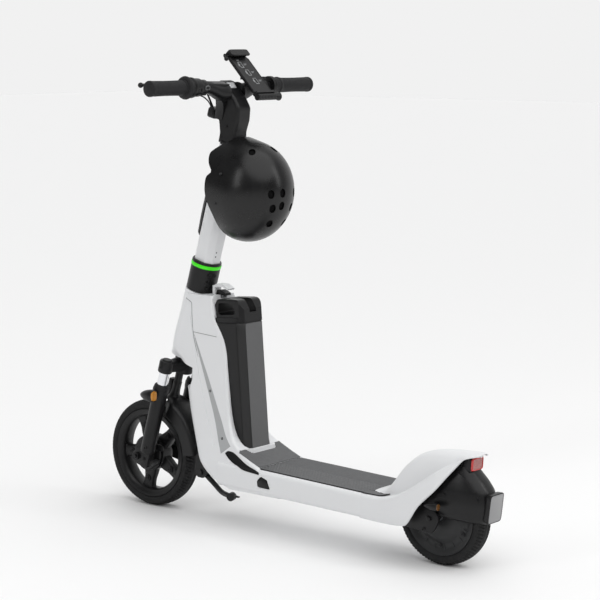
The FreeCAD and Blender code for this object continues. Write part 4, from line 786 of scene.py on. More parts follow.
def rear_hub():
    """Hub motor: two-step side covers with ribs, screws and the rim the tyre sits on."""
    half = 24.6
    profile = [(14, -27.5), (24, -28.5), (50, -27.8), (60, -25.5), (68, -20.5), (71, -18.5), (80, -17.5),
               (86, -19),
               (92, -22.5), (101, -half), (101.4, -half + 1.6), (97,
                                                                 -half + 3), (96, -half + 5), (96, half - 5),
               (97, half - 3), (101.4, half - 1.6), (101, half), (92,
                                                                  22.5), (86, 19), (80, 17.5), (71, 18.5),
               (68, 20.5), (60, 25.5), (50, 27.8), (24, 28.5), (14, 27.5)]
    hub = Build(REAR_WHEEL).lathe(profile, steps=120)
    rib_count = 18
    for i in range(rib_count):
        angle = 2 * math.pi * i / rib_count
        c, s = math.cos(angle), math.sin(angle)
        for side in (-1, 1):
            start = Vector((69 * c, side * 17.0, 69 * s))
            hub.tube([start, start + Vector((18 * c, side * 1.6, 18 * s))], 1.6, 8)
    screw_count = 6
    for i in range(screw_count):
        angle = 2 * math.pi * (i + 0.5) / screw_count
        c, s = math.cos(angle), math.sin(angle)
        for side in (-1, 1):
            hub.rod((77 * c, side * 15.5, 77 * s), (0, side, 0), 6.0, 5.2, 20)
            hub.bolt((77 * c, side * 20.6, 77 * s), (0, side, 0), 3.4, 2.4)
    hub.done("motor_hub_shell", "grey_metal", "rear_wheel", ["rear_motor_hub"], crease=32)


def rear_details():
    """Dropout plates, their bolts and the rear axle."""
    plates = Build()
    for side in (-1, 1):
        outer = [(-398, 97), (-414, 128), (-446, 161), (-478, 153), (-503, 146), (-513, 136), (-515, 125),
                 (-506, 104),
                 (-494, 90)]
        plates.prism([(x, side * 59.2, z) for x, z in outer], (0, side * 6.3, 0))
    plates.done("dropout_plates", "grey_metal", "frame", ["rear_dropouts"], bevel=1.4, paint="black_metal")
    bolts = Build()
    for side in (-1, 1):
        for x, z in ((-483, 129), (-472, 98)):
            bolts.rod((x, side * 64.5, z), (0, side, 0), 5.4, 1.6, 28)
            bolts.bolt((x, side * 66.0, z), (0, side, 0), 4.4, 2.6)
    axle = Build(REAR_WHEEL)
    axle.rod((0, -72, 0), (0, 1, 0), 6.0, 144, 28)
    for side in (-1, 1):
        axle.rod((0, side * 28.5, 0), (0, side, 0), 10.5, 31, 32)
    axle.done("rear_axle", "steel", "frame", ["rear_axle_and_nuts"], bevel=0.5, paint="black_metal")
    bolts.done("dropout_bolts", "steel", "frame", paint="black_metal", crease=35)


# ---- tyres --------------------------------------------------------------------------------
def tyre(name, node, placing, body, outer, half, bead_r, lugs):
    """Tyre with a shoulder of slanting lugs, two running grooves and moulded sidewall rings."""
    centre_r = (outer + bead_r) / 2
    reach = outer - centre_r
    section = 56
    around = lugs * 8
    rows = []
    for i in range(around):
        turn = 2 * math.pi * i / around
        row = []
        for j in range(section + 1):
            phi = math.radians(-148 + 296 * j / section)
            y = half * math.copysign(abs(math.sin(phi)) ** 0.85, math.sin(phi))
            r = centre_r + reach * math.copysign(abs(math.cos(phi)) ** 0.8, math.cos(phi))
            tilt = abs(math.degrees(phi))
            wave = math.cos(lugs * turn + tilt * 0.085 + (0.9 if phi > 0 else 0.0))
            cut = 3.4 * smooth_step(wave, 0.1, 0.45)
            cut *= smooth_step(tilt, 16, 22) * (1 - smooth_step(tilt, 62, 70))
            cut += 1.8 * math.exp(-((tilt - 10) / 2.6) ** 2)
            ring = 0.5 * math.exp(-((tilt - 84) / 1.8) ** 2) + 0.5 * math.exp(-((tilt - 112) / 2.0) ** 2)
            r -= cut * abs(math.cos(phi)) + 0.1
            y -= math.copysign(cut * abs(math.sin(phi)) * 0.5 - ring, y)
            row.append((r * math.cos(turn), y, r * math.sin(turn)))
        rows.append(row)
    Build(placing).skin(rows, round_rows=True).done(name, "tyre_rubber", body, [node], crease=80)


def front_wheel():
    """Cast rim with five spokes, and its valve."""
    rim = Build(FRONT_WHEEL)
    rim.lathe([(106, -21), (111, -25), (122, -26), (123.6, -24.6), (119.5, -22.6), (118, -21), (118, 21),
               (119.5, 22.6), (123.6, 24.6), (122, 26), (111, 25), (106,
                                                                    21), (102.5,
                                                                          15), (101.5, 0), (102.5, -15)],
              steps=120)
    rim.lathe([(14, -26), (36, -26), (44, -23), (49, -17), (50, -8), (50, 19), (48.5, 20.4), (45, 20),
               (45, 2),
               (14, 2)], steps=72)
    spoke_count = 5
    for i in range(spoke_count):
        angle = math.radians(67 + 360 / spoke_count * i)
        out = Vector((math.cos(angle), 0, math.sin(angle)))
        side = Vector((-out.z, 0, out.x))
        rings = []
        for r, wide, thick in eased([(44, 21, 13), (60, 19.5, 12.5), (80, 16.5, 11), (96, 17, 12),
                                     (105, 22, 14)], 3):
            rings.append([out * r + side * a + LEFT * b for a, b in rounded_section(wide, thick, 4.2, 32)])
        rim.loft(rings)
        for face in (-1, 1):
            rim.rod(out * 78 + LEFT * face * 9.5, LEFT * face, 10, 4.6, 28, 9)
            rim.bolt(out * 78 + LEFT * face * 14.0, LEFT * face, 5.2, 2.4)
    valve = math.radians(103)
    rim.rod((98 * math.cos(valve), 0, 98 * math.sin(valve)), (-math.cos(valve), 0.4, -math.sin(valve)), 3.0,
            20, 16)
    rim.done("front_wheel_casting", "black_metal", "front_wheel", ["front_rim"], crease=34)


def drum_brake():
    """Drum-brake plate and the arm the cable pulls."""
    plate = Build(FRONT_WHEEL)
    plate.lathe([(6.2, 27), (47, 27), (49.2, 28.5), (49.2, 31), (46.5, 33.2), (40, 33.6), (28, 35.4),
                 (22, 40.5),
                 (6.2, 41)], steps=72)
    for i in range(5):
        turn = 2 * math.pi * i / 5 + 0.3
        place = Vector((36 * math.cos(turn), 31.6, 36 * math.sin(turn)))
        plate.rod(place, LEFT, 6.5, 3.4, 24, 6)
        plate.bolt(place + LEFT * 3.2, LEFT, 4.2, 2.2)
    plate.prism([(-18, 33.4, 12), (-60, 33.4, 14), (-64, 33.4, 20), (-62, 33.4, 28), (-50, 33.4, 32),
                 (-16, 33.4, 30)],
                (0, 4.8, 0))
    plate.rod((-4, 33.2, -36), (0, 1, 0), 3.9, 10.8, 20)
    plate.done("front_drum_plate", "black_metal", "fork_lowers", ["front_brake_plate"], bevel=0.35,
               crease=34)
    arm = Build(FRONT_WHEEL)
    arm.prism([(-12, 36.6, -44), (4, 36.6, -45), (5, 36.6, -33), (-40, 36.6, -10), (-50, 36.6, -13),
               (-48, 36.6, -19)],
              (0, 3.8, 0))
    arm.done("drum_brake_arm", "grey_metal", "brake_arm", ["front_brake_arm"], bevel=0.8)


def fork_sliders():
    """Cast lower legs with their dust seals."""
    legs = Build(STEERED)
    for side in (-1, 1):
        y = side * 65
        rings = []
        for level, r in eased([(168, 19.5), (176, 20.5), (230, 20.5), (338, 20.8), (346, 22.3), (358, 22.3),
                               (362.5, 20.6)], 3):
            rings.append([(8 + a, y + b, level) for a, b in rounded_section(r, r, 2, 40)])
        legs.loft(rings)
        outline = [(-8, 128), (24, 124), (44, 128), (52, 138), (51, 152), (40, 168), (26, 196), (-8, 204)]
        legs.prism([(x, y - 9.5, z) for x, z in outline], (0, 19, 0))
        legs.bolt((2, y + side * 17.5, 186), (0, side, 0), 5.0, 4.6)
        legs.bolt((6, y + side * 9.2, 148), (0, side, 0), 4.2, 3.2)
    legs.done("fork_slider_castings", "black_metal", "fork_lowers", ["fork_sliders"], bevel=0.7, crease=34)
    seals = Build(STEERED)
    for side in (-1, 1):
        seals.lathe_up((8, side * 65), [(14.2, 361.5), (20.4, 361.5), (20.8, 364.5), (19.2, 369),
                                        (16.2, 371.5),
                                        (14.2, 371.5)])
    seals.done("fork_dust_seals", "grip_rubber", "fork_lowers")


def fork_crown():
    """Crown, in one piece with the steerer."""
    crown = Build(STEERED)
    for side in (-1, 1):
        crown.lathe_up((8, side * 65), [(0.1, 408), (18.6, 408), (19.6, 410), (19.6, 437), (18, 440.5),
                                        (13.5, 441),
                                        (13, 443.5), (11, 445), (0.1, 445)])
        rings = []
        for y, x, deep, high, level in eased([(60, 8, 17, 15.5, 423), (42, 6, 18.5, 15, 423.5),
                                              (24, 2, 23, 16.5, 425),
                                              (0, 0, 27, 19, 426.5)], 4):
            rings.append([(x + a, side * y, level + b) for a, b in rounded_section(deep, high, 3.4, 32)])
        crown.loft(rings)
        crown.bolt((8, side * 84.2, 424), (0, side, 0), 4.6, 3.0)
    crown.lathe_up((0, 0), [(15.2, 404), (26, 404), (28, 407), (28.6, 448), (26, 452), (15.2, 452)])
    crown.lathe_up((0, 0), [(12.2, 440), (15, 440), (15, 719), (12.2, 719)])
    crown.done("fork_crown_casting", "black_metal", "steering", ["fork_crown_and_steerer"], bevel=0.4,
               crease=34)


def front_fender():
    """Moulded fender with a deep skirt."""
    shell = Build(FRONT_WHEEL)
    rows = []
    for i in range(49):
        t = i / 48
        angle = math.radians(116 + 58.5 * t)
        tip = smooth_step(t, 0.0, 0.14)
        half = 33.0 + 7.0 * tip
        drop = 26.0 + 19.0 * tip
        outer = 187.0 + 1.0 * math.sin(t * math.pi)
        row = []
        for j in range(33):
            phi = -1 + 2 * j / 32
            bend = abs(phi)
            if bend > 0.62:
                down = (bend - 0.62) / 0.38
                y = half
                r = outer - 13 - (drop - 13) * down
            else:
                turn = math.radians(90 * bend / 0.62)
                y = half * math.sin(turn) ** 0.85
                r = outer - 13 * (1 - math.cos(turn))
            row.append((r * math.cos(angle), math.copysign(y, phi), r * math.sin(angle)))
        rows.append(row)
    shell.skin(rows).done("front_fender_shell", "black_plastic", "steering", ["front_fender"],
                          thickness=2.6,
                          crease=55)


def fender_stalk():
    """Stalk from the crown that flares into the fender."""
    stalk = Build(STEERED)
    rings = []
    for level, x, wide, deep in eased([(411, 9.5, 10.5, 10.5), (372, 9.5, 10.5, 10.5),
                                       (369, 9.5, 11.8, 11.8),
                                       (352, 9.8, 11.5, 11.5), (335, 10, 13, 13), (325, 9, 18, 18),
                                       (318, 7, 24, 25)], 4):
        rings.append([(x + a, b, level) for a, b in rounded_section(deep, wide, 2.2, 40)])
    stalk.loft(rings)
    stalk.done("front_fender_stalk", "black_plastic", "steering", crease=45)
    bracket = Build(STEERED)
    bracket.prism([(22, -9, 372), (34, -9, 372), (36, -9, 334), (26, -9, 322), (20, -9, 338)], (0, 18, 0))
    bracket.done("fender_front_block", "black_plastic", "steering", bevel=1.2)


# ---- handlebar ----------------------------------------------------------------------------
def grips():
    """Ribbed grips with their collars and end caps."""
    for side, name in ((1, "left_grip"), (-1, "right_grip")):
        grip = Build(STEERED)
        inner, outer = 185.0, 316.0
        rows = []
        steps = 150
        for i in range(steps + 1):
            y = inner + (outer - inner) * i / steps
            r = 19.0 + 0.7 * math.cos((y - inner) / (outer - inner) * math.pi * 2) * 0.5
            if inner + 12 < y < outer - 14:
                r += 0.55 * max(0.0, math.cos((y - inner) * 2 * math.pi / 4.2)) ** 0.6
            if y > outer - 9:
                r = 20.4
            if y > outer - 2.5:
                r = 20.4 - (y - outer + 2.5) ** 2 * 0.45
            if y < inner + 9:
                r = 20.6
            rows.append([(BAR_X + r * math.cos(2 * math.pi * k / 48), side * y,
                          BAR_Z + r * math.sin(2 * math.pi * k / 48))
                         for k in range(48)])
        grip.loft(rows)
        grip.lathe([(18, 177), (27, 177), (29.5, 178.6), (30, 181), (29, 184), (25, 187),
                    (18.2, 188.5)] if side > 0
                   else [(18, -178), (21, -178), (22.4, -179.6), (22.6, -182), (21, -186), (18.2, -188)],
                  (BAR_X, 0, BAR_Z), steps=64)
        end = side * 316.0
        grip.lathe([(0.1, end - side * 0.5), (14.5, end - side * 0.5), (15.4, end + side * 0.05),
                    (17.0, end - side * 0.6), (0.1, end - side * 3)], (BAR_X, 0, BAR_Z), steps=48)
        grip.done(name, "grip_rubber", "steering", ["grips"] if side > 0 else (), crease=50)


def control_pods():
    """Switch pod and brake perch on the left, throttle housing on the right."""
    pods = Build(STEERED)
    pods.lathe([(11.2, 110.5), (19, 110.5), (20, 112), (20, 128), (19, 129.6), (11.2, 129.6)],
               (BAR_X, 0, BAR_Z))
    pods.loft([[(BAR_X + 4 + a, y, BAR_Z - 3 + b) for a, b in rounded_section(w, h, 4, 32)] for y, w, h in
               ((110.5, 19, 15), (113, 21, 17), (127, 21, 17), (129.6, 19, 15))])
    pods.lathe([(11.2, 132), (22, 132), (23.6, 134), (24, 140), (24, 156), (26.4, 158), (26.8, 161),
                (26.4, 164.5),
                (24, 166.5), (23.4, 172), (21.5, 174.6), (11.2, 174.6)], (BAR_X, 0, BAR_Z))
    for level in (BAR_Z - 13, BAR_Z - 3.8):
        pods.prism([(BAR_X + x, y, level) for x,
                    y in ((14, 114), (42, 114), (44, 148), (28, 149), (20, 131))],
                   (0, 0, 2.8))
    pods.box(BAR_X + 14, BAR_X + 40, 112, 127, BAR_Z - 13, BAR_Z - 1)
    pods.rod((BAR_X + 34, 140, BAR_Z - 12.5), (0, 0, 1), 2.4, 11.5, 16)
    pods.bolt((BAR_X + 34, 140, BAR_Z - 1.1), (0, 0, 1), 4.0, 2.0)
    pods.rod((BAR_X + 29, 112, BAR_Z - 7), (0, -1, 0.0), 5.2, 12, 6)
    pods.rod((BAR_X + 29, 101, BAR_Z - 7), (0, -1, 0.0), 3.9, 5, 20)
    pods.lathe([(11.2, -158.4), (24, -158.4), (25, -157), (25, -147), (24, -145), (11.2, -144.6)],
               (BAR_X, 0, BAR_Z))
    pods.bolt((BAR_X - 6, 120, BAR_Z - 19.6), (0, 0, -1), 3.6, 2.6)
    pods.bolt((BAR_X - 19, 151, BAR_Z - 15), (-0.7, 0, -0.7), 3.0, 2.0)
    pods.done("bar_controls", "black_plastic", "steering", ["control_pods"], crease=34)


def pod_switch():
    """Rocker switch in its bezel."""
    switch = Build(STEERED)
    switch.loft([[(BAR_X - 19 - d, 118.5 + a, BAR_Z + 5 + b) for a,
                  b in rounded_section(9 * s, 6 * s, 2.6, 40)]
                 for d, s in ((0, 1.0), (2.6, 1.0), (3.4, 0.92), (3.0, 0.78), (3.0, 0.1))])
    switch.done("switch_bezel", "black_plastic", "steering", paint="mat_rubber", crease=40)
    rocker = Build(STEERED)
    rocker.loft([[(BAR_X - 22 - d, 118.5 + a, BAR_Z + 5 + b) for a,
                  b in rounded_section(5.2 * s, 3.2 * s, 2.4, 32)]
                 for d, s in ((0, 1.0), (1.3, 0.96), (1.8, 0.7), (1.9, 0.1))])
    rocker.done("switch_rocker", "black_plastic", "steering")


def brake_lever():
    """Lever blade with a ball end."""
    lever = Build(STEERED)
    path = curve_points([(BAR_X + 34, 133, BAR_Z - 7), (BAR_X + 37, 150, BAR_Z - 7),
                         (BAR_X + 44, 178, BAR_Z - 7),
                         (BAR_X + 53, 215, BAR_Z - 7), (BAR_X + 54, 255,
                                                        BAR_Z - 7), (BAR_X + 52, 288, BAR_Z - 7)], 8)
    rings = []
    for i, point in enumerate(path):
        t = i / (len(path) - 1)
        wide = 6.2 - 1.6 * smooth_step(t, 0.1, 0.5)
        rings.append([point + Vector((a, 0, b)) for a,
                      b in rounded_section(wide, 2.7 + 1.0 * smooth_step(t, 0.3, 0.6),
                                                                          3, 20)])
    lever.loft(rings)
    lever.ball((BAR_X + 51.5, 291, BAR_Z - 7), 7.0)
    lever.done("brake_lever_blade", "black_metal", "brake_lever", ["brake_lever"], crease=50)


def throttle_ring():
    """Ribbed end of the throttle sleeve."""
    throttle = Build(STEERED)
    rows = []
    for y, r in ((-183, 18.5), (-182, 20.6), (-180, 21.4), (-178, 21.4), (-177.5, 20.6), (-163, 20.6),
                 (-162.5, 21.4),
                 (-160, 21.4), (-159.2, 20.5)):
        rows.append([(BAR_X + (r + (0.6 if k % 4 < 2 and -178 < y < -162 else 0))
                      * math.cos(2 * math.pi * k / 96), y,
                      BAR_Z + (r + (0.6 if k % 4 < 2 and -178 < y < -162 else 0)) * math.sin(2 * math.pi * k / 96))
                     for k in range(96)])
    throttle.loft(rows)
    throttle.done("throttle_grip_ring", "grip_rubber", "throttle", ["throttle_sleeve"], crease=40)


def pod_buttons():
    """Two push buttons on the pod."""
    buttons = Build(STEERED)
    for y in (140.5, 152.5):
        buttons.loft([[(BAR_X - 23.6 - d, y + a, BAR_Z + b) for a,
                       b in rounded_section(4.5 * s, 5 * s, 3, 28)]
                      for d, s in ((0, 1.0), (2.0, 1.0), (3.0, 0.86), (3.3, 0.5), (3.3, 0.1))])
    buttons.done("pod_buttons", "black_plastic", "buttons", ["switch_buttons"], crease=45)


def cables():
    """Brake hose and switch wires, from the bar to the neck."""
    brake = Build(STEERED)
    brake.tube(curve_points([(BAR_X + 29, 98, BAR_Z - 7), (BAR_X + 31, 80, BAR_Z - 10),
                             (BAR_X + 35, 56, BAR_Z - 24),
                             (BAR_X + 35, 36, BAR_Z - 46), (BAR_X + 28, 22,
                                                            BAR_Z - 70), (BAR_X + 24, 18, BAR_Z - 92)],
                            10), 2.5, 14)
    brake.done("brake_hose", "grip_rubber", "steering", ["brake_cable"])
    others = Build(STEERED)
    others.tube(curve_points([(BAR_X + 18, -150, BAR_Z - 14), (BAR_X + 26, -128, BAR_Z - 22),
                              (BAR_X + 31, -84, BAR_Z - 34), (BAR_X + 32, -40, BAR_Z - 54),
                              (BAR_X + 27, -22, BAR_Z - 84)], 10), 1.8, 12)
    others.tube(curve_points([(BAR_X + 14, 140, BAR_Z - 20), (BAR_X + 24, 112, BAR_Z - 28),
                              (BAR_X + 30, 70, BAR_Z - 36), (BAR_X + 32, 34, BAR_Z - 58),
                              (BAR_X + 26, 24, BAR_Z - 86)], 10), 1.8, 12)
    others.done("switch_wires", "grip_rubber", "steering")


def display():
    """Window on the neck's top with its printed segments."""
    panel = Build(STEERED)
    half = 14.0
    outline = [(37.6, 1198.3), (57.2, 1210.6)]
    a, b = Vector((outline[0][0], 0, outline[0][1])), Vector((outline[1][0], 0, outline[1][1]))
    along = (b - a).normalized()
    normal = Vector((-along.z, 0, along.x))
    middle = (a + b) / 2

    def on_panel(u, v, lift):
        return middle + along * v + LEFT * u + normal * lift

    span = (b - a).length * 0.42
    panel.prism([on_panel(u, v, 0.4) for u, v in rounded_section(half, span, 12, 48)], normal * 0.9)
    panel.done("display_window_pane", "display_grey", "steering", ["display_panel"], bevel=0.3)
    bars = Build(STEERED)
    for u, v, w, h in ((-12, 4.5, 5, 0.9), (-12, 0, 5, 0.9), (-12, -4.5, 5, 0.9), (-17.4, 2.2, 0.8, 2.2),
                       (-6.6, -2.2, 0.8, 2.2), (2, 4.5, 4, 0.8), (2, -4.5, 4, 0.8), (14, 0, 5, 3.2)):
        bars.prism([on_panel((u + a) * 0.6, (v + b) * 0.8, 1.25) for a,
                    b in ((-w, -h), (w, -h), (w, h), (-w, h))], normal * 0.2)
    bars.done("display_segments", "display_grey", "steering", paint="pale_grey")


def neck_screws():
    """Screws on both sides of the neck."""
    screws = Build(STEERED)
    for side in (-1, 1):
        for x, z in ((34, 1160), (12, 1104)):
            screws.bolt((x, side * 25.6, z), (0, side, 0), 3.2, 1.6)
    screws.done("neck_screws", "black_metal", "steering")


def headlight():
    """Lamp at the front of the neck."""
    lamp = Build(STEERED)
    lamp.loft([[(x, a, 1119 + b) for a, b in rounded_section(w, h, 4.5, 40)] for x, w, h in
               ((62, 15, 11), (70, 19, 14), (88, 20.5, 15), (91, 19.6, 14.2), (91, 17.6, 12.4),
                (89.6, 17, 12))])
    lamp.done("headlight_case", "black_plastic", "steering", ["headlight"], crease=34)
    glass = Build(STEERED)
    glass.loft([[(x, a, 1119 + b) for a, b in rounded_section(w, h, 4.5, 40)] for x, w, h in
                ((89.4, 17.2, 12.2), (91.4, 16.8, 11.8), (93, 14, 9), (93.4, 2, 1))])
    glass.done("headlight_lens", "display_grey", "steering", crease=50)


def stem_front_plate():
    """Dark plate down the front of the stem."""
    cover = Build(STEERED)
    rings = []
    for level, deep, wide in eased([(792, 36.5, 17), (800, 39.5, 20), (870, 41, 21), (950, 40, 20.5),
                                    (975, 36.5, 18)],
                                   5):
        rings.append([(a, b, level) for a, b in ((31, -wide), (deep, -wide * 0.8), (deep + 1.2, 0),
                                                 (deep, wide * 0.8),
                                                 (31, wide))])
    cover.loft(rings)
    cover.done("stem_front_plate", "black_plastic", "steering", crease=40)


def neck_shoulders():
    """Gussets that carry the neck's sides out into the bar."""
    shoulders = Build(STEERED)
    for side in (-1, 1):
        outline = [(26, 1112), (28, 1140), (31, 1160), (33, 1176), (33, 1208), (26, 1211)]
        if side > 0:
            outline = [(26, 1112), (29, 1140), (36, 1160), (50, 1176), (74, 1186), (108, 1190), (108, 1215),
                       (26, 1213)]
        shoulders.prism([(BAR_X - 13, side * y, z) for y, z in outline], (28, 0, 0))
    shoulders.done("neck_shoulders", "black_metal", "steering", bevel=5.0, crease=50)


# ---- phone holder -------------------------------------------------------------------------
def phone_plate():
    """Plate with its fixed lip, ribbed roller and thumb wheel."""
    plate = Build(HELD)
    plate.loft([[(a, -4 + b, z) for a, b in rounded_section(w, l, 16, 72)] for z, w, l in
                ((-4.6, 34.8, 62.6), (-3.6, 36, 64), (2.8, 36, 64), (4.0, 34.8, 62.8))])
    plate.loft([[(a, -71 + b, z) for a, b in rounded_section(w, l, 8, 48)] for z, w, l in
                ((-6, 35, 3.0), (-5, 36.5, 4.0), (9, 36.5, 4.0), (11, 35.6, 3.2))])
    for x in (-34.4, 34.4):
        plate.tube([(x, -60, 3.6), (x, 52, 3.6)], 1.4, 10)
    rows = []
    for i in range(73):
        x = -36 + i
        r = 8.3 + (0.7 if i % 6 < 3 else 0)
        rows.append([(x, -82.5 + r * math.cos(2 * math.pi * k / 36), 2 + r * math.sin(2 * math.pi * k / 36))
                     for k in range(36)])
    plate.loft(rows)
    rows = []
    for x, r in ((36.5, 6.5), (39, 7.2), (46, 9.6), (50.5, 11.2), (52, 10.6), (52.4, 8.5)):
        rows.append([(x, -82.5 + (r + (0.5 if k % 4 < 2 and r > 7 else 0)) * math.cos(2 * math.pi * k / 48),
                      2 + (r + (0.5 if k % 4 < 2 and r > 7 else 0)) * math.sin(2 * math.pi * k / 48))
                     for k in range(48)])
    plate.loft(rows)
    plate.done("phone_plate", "black_plastic", "holder", ["holder_plate"], crease=36)


def phone_plate_marks():
    """Plain outline symbols on the plate."""
    marks = Build(HELD)
    for k, (cx, cy) in enumerate(((-12, 30), (-4, 2), (2, -28))):
        for dx0, dx1, dy0, dy1 in ((-6, 6, 9, 10), (-6, 6, -10, -9), (-6, -5, -9, 9), (5, 6, -9, 9)):
            marks.box(cx + dx0, cx + dx1, cy + dy0, cy + dy1, 4.0, 4.35)
        marks.box(cx - 9.5, cx - 7.5, cy - 5, cy + 5, 4.0, 4.35)
        for row in range(2):
            marks.box(cx + 12, cx + 24 - 4 * row, cy + 2 - 3.4 * row, cy + 3 - 3.4 * row, 4.0, 4.35)
        if k == 0:
            marks.box(cx - 5, cx + 5, cy + 16, cy + 17, 4.0, 4.35)
    marks.done("plate_marks", "display_grey", "holder", paint="silver_grey")


def phone_jaw():
    """Sliding upper jaw."""
    jaw = Build(HELD)
    jaw.loft([[(a, 68 + b, z) for a, b in rounded_section(w, l, 8, 56)] for z, w, l in
              ((-8, 35.4, 5.8), (-7, 37, 7), (10, 37, 7), (12, 36.4, 6.4))])
    jaw.loft([[(a, 64.4 + b, z) for a, b in rounded_section(w, l, 8, 56)] for z, w, l in
              ((11.4, 36.4, 9.6), (12.4, 37, 10.4), (15.6, 37, 10.4), (17, 36, 9.4))])
    for i in range(9):
        jaw.box(-32 + 8 * i - 1.2, -32 + 8 * i + 1.2, 60.0, 61.6, -6, 10)
    for x in (-20, 20):
        jaw.rod((x, 38, 0), (0, 1, 0), 2.5, 26, 16)
    jaw.rod((-36, 66, 3), (-1, 0, 0), 4.2, 12, 20)
    jaw.tube(curve_points([(-48, 66, 3), (-50, 62, 3), (-50.5, 55, 3)], 6), 3.4, 14)
    jaw.ball((-50.5, 53.5, 3), 6.0)
    jaw.done("phone_upper_jaw", "black_plastic", "holder_jaw", ["holder_upper_jaw"], crease=36)


# ---- helmet -------------------------------------------------------------------------------
def cut_by(obj, cutters):
    """Takes cutters out of a piece and bakes the result."""
    for cutter in cutters:
        tool = obj.modifiers.new("cut", "BOOLEAN")
        tool.operation = "DIFFERENCE"
        tool.solver = "EXACT"
        tool.object = cutter
    graph = bpy.context.evaluated_depsgraph_get()
    mesh = bpy.data.meshes.new_from_object(obj.evaluated_get(graph))
    obj.modifiers.clear()
    obj.data = mesh
    for cutter in cutters:
        bpy.data.objects.remove(cutter)


def cutter_of(build, name):
    """A body used only to cut another one."""
    bmesh.ops.recalc_face_normals(build.bm, faces=build.bm.faces)
    mesh = bpy.data.meshes.new(name)
    build.bm.to_mesh(mesh)
    build.bm.free()
    obj = bpy.data.objects.new(name, mesh)
    bpy.context.scene.collection.objects.link(obj)
    obj.hide_render = True
    return obj


HELMET = STEERED @ Matrix.Translation((-89, 0, 958))


def helmet_surface(grow, lat_steps, edge):
    """Rows of the bowl: crown to the rear, each row one step nearer the brim."""
    rows = []
    count = 128
    reach = 134.0 + grow
    depth = 125.0 + grow
    for i in range(lat_steps + 1):
        t = i / lat_steps
        row = []
        for j in range(count):
            around = 2 * math.pi * j / count
            c, s = math.cos(around), math.sin(around)
            rim = edge(around)
            turn = t * (math.pi / 2 + rim)
            if turn <= math.pi / 2:
                x = -depth * math.cos(turn)
                r = math.sin(turn)
            else:
                x = (turn - math.pi / 2) * reach
                r = 1.0 - 0.05 * (turn - math.pi / 2) ** 2
            row.append((x, (108.0 + grow) * r * s, reach * r * c))
        rows.append(row)
    return rows


def brim_edge(around):
    """How far past the widest ring the shell reaches: brow on top, ear cuts at the sides, neck below."""
    top = 0.02 + 0.18 * math.cos(around)
    ears = 0.34 * (0.5 - 0.5 * math.cos(2 * around))
    from_top = abs((math.degrees(around) + 180) % 360 - 180)
    if from_top > 50:
        top += 0.20 * math.exp(-((from_top - 50) / 15) ** 2)
    else:
        top += 0.06 + 0.14 * (from_top / 50) ** 1.5
    notch = -0.13 * math.exp(-((from_top - 72) / 5) ** 2) * 0.8 - 0.08 * math.exp(-((from_top - 122) / 16) ** 2)
    return 0.12 + top + ears + notch


# Vent holes: a point on the bowl, the way it faces there, and whether the other side has one too.
VENTS = (((94, 49, 1000), (-0.37, 0.55, 0.75), True), ((77, -19, 1005), (-0.51, -0.2, 0.84), False),
         ((27, 49, 893), (-0.84, 0.54, -0.01), True), ((14, 13, 895), (-0.99, 0.14, 0.02), False),
         ((29, 40, 853), (-0.85, 0.44, -0.3), True), ((18, 12, 859), (-0.95, 0.14, -0.27), False),
         ((46, 33, 806), (-0.6, 0.4, -0.7), True))


def helmet_shell():
    """Shell with its rim and vent holes."""
    shell = Build(HELMET)
    rows = helmet_surface(0.0, 56, brim_edge)
    inner = helmet_surface(-4.0, 56, brim_edge)
    edge_mid = [tuple((Vector(a) + Vector(b)) / 2 + Vector((2.0, 0, 0))) for a,
                b in zip(rows[-1], inner[-1])]
    shell.skin(rows[1:] + [edge_mid] + list(reversed(inner[1:])), round_columns=True)
    bmesh.ops.holes_fill(shell.bm, edges=[e for e in shell.bm.edges if e.is_boundary], sides=0)
    piece = shell.done("helmet_outer_shell", "helmet_black", "helmet", ["helmet_shell"], crease=50)
    cutters = []
    for spot, out, mirrored in VENTS:
        for side in (-1, 1) if mirrored else (1,):
            place = Vector((spot[0], spot[1] * side, spot[2])) * MM
            facing = Vector((out[0], out[1] * side, out[2])).to_track_quat("Z", "Y").to_matrix().to_4x4()
            vent = Build(Matrix.Translation(place) @ facing @ GROUND)
            vent.loft([[(a, b, z) for a, b in rounded_section(9.0, 11.5, 2.2, 28)] for z in (-30, 20)])
            cutters.append(cutter_of(vent, "vent_cutter"))
    cut_by(piece, cutters)


def helmet_padding():
    """Foam inside the shell; its paint is darker than the foam itself, as painted shade seen through the vent
    holes.
    """
    liner = Build(HELMET)

    def liner_edge(around):
        return brim_edge(around) - 0.05

    outer = helmet_surface(-5.0, 40, liner_edge)
    hollow = helmet_surface(-22.0, 40, lambda around: brim_edge(around) - 0.11)
    liner.skin(outer[1:] + list(reversed(hollow[1:])), round_columns=True)
    bmesh.ops.holes_fill(liner.bm, edges=[e for e in liner.bm.edges if e.is_boundary], sides=0)
    pad = liner.done("helmet_foam_liner", "foam", "helmet", ["helmet_liner"], crease=60)


def helmet_straps():
    """Webbing with its rivets."""
    rivets = Build(HELMET)
    for side in (-1, 1):
        for x, level in ((22, 46), (18, -34)):
            rivets.rod((x, side * 102, level), (0, side, 0), 3.8, 4.6, 24, 3.0)
    rivets.done("strap_rivets", "black_metal", "helmet", paint="grey_metal", crease=40)
    straps = Build(HELMET)
    for side in (-1, 1):
        for level, swing in ((46, 1), (-34, -1)):
            spine = curve_points([(20, side * 96, level), (40, side * 86, level * 0.7),
                                  (62, side * 66, level * 0.3),
                                  (72, side * 44, 4 * swing)], 10)
            rows = []
            for point in spine:
                rows.append([point + Vector((0, b, a)) for a, b in rounded_section(8, 0.8, 6, 16)])
            straps.loft(rows)
    straps.done("helmet_webbing", "webbing", "helmet", ["helmet_straps"], crease=60)


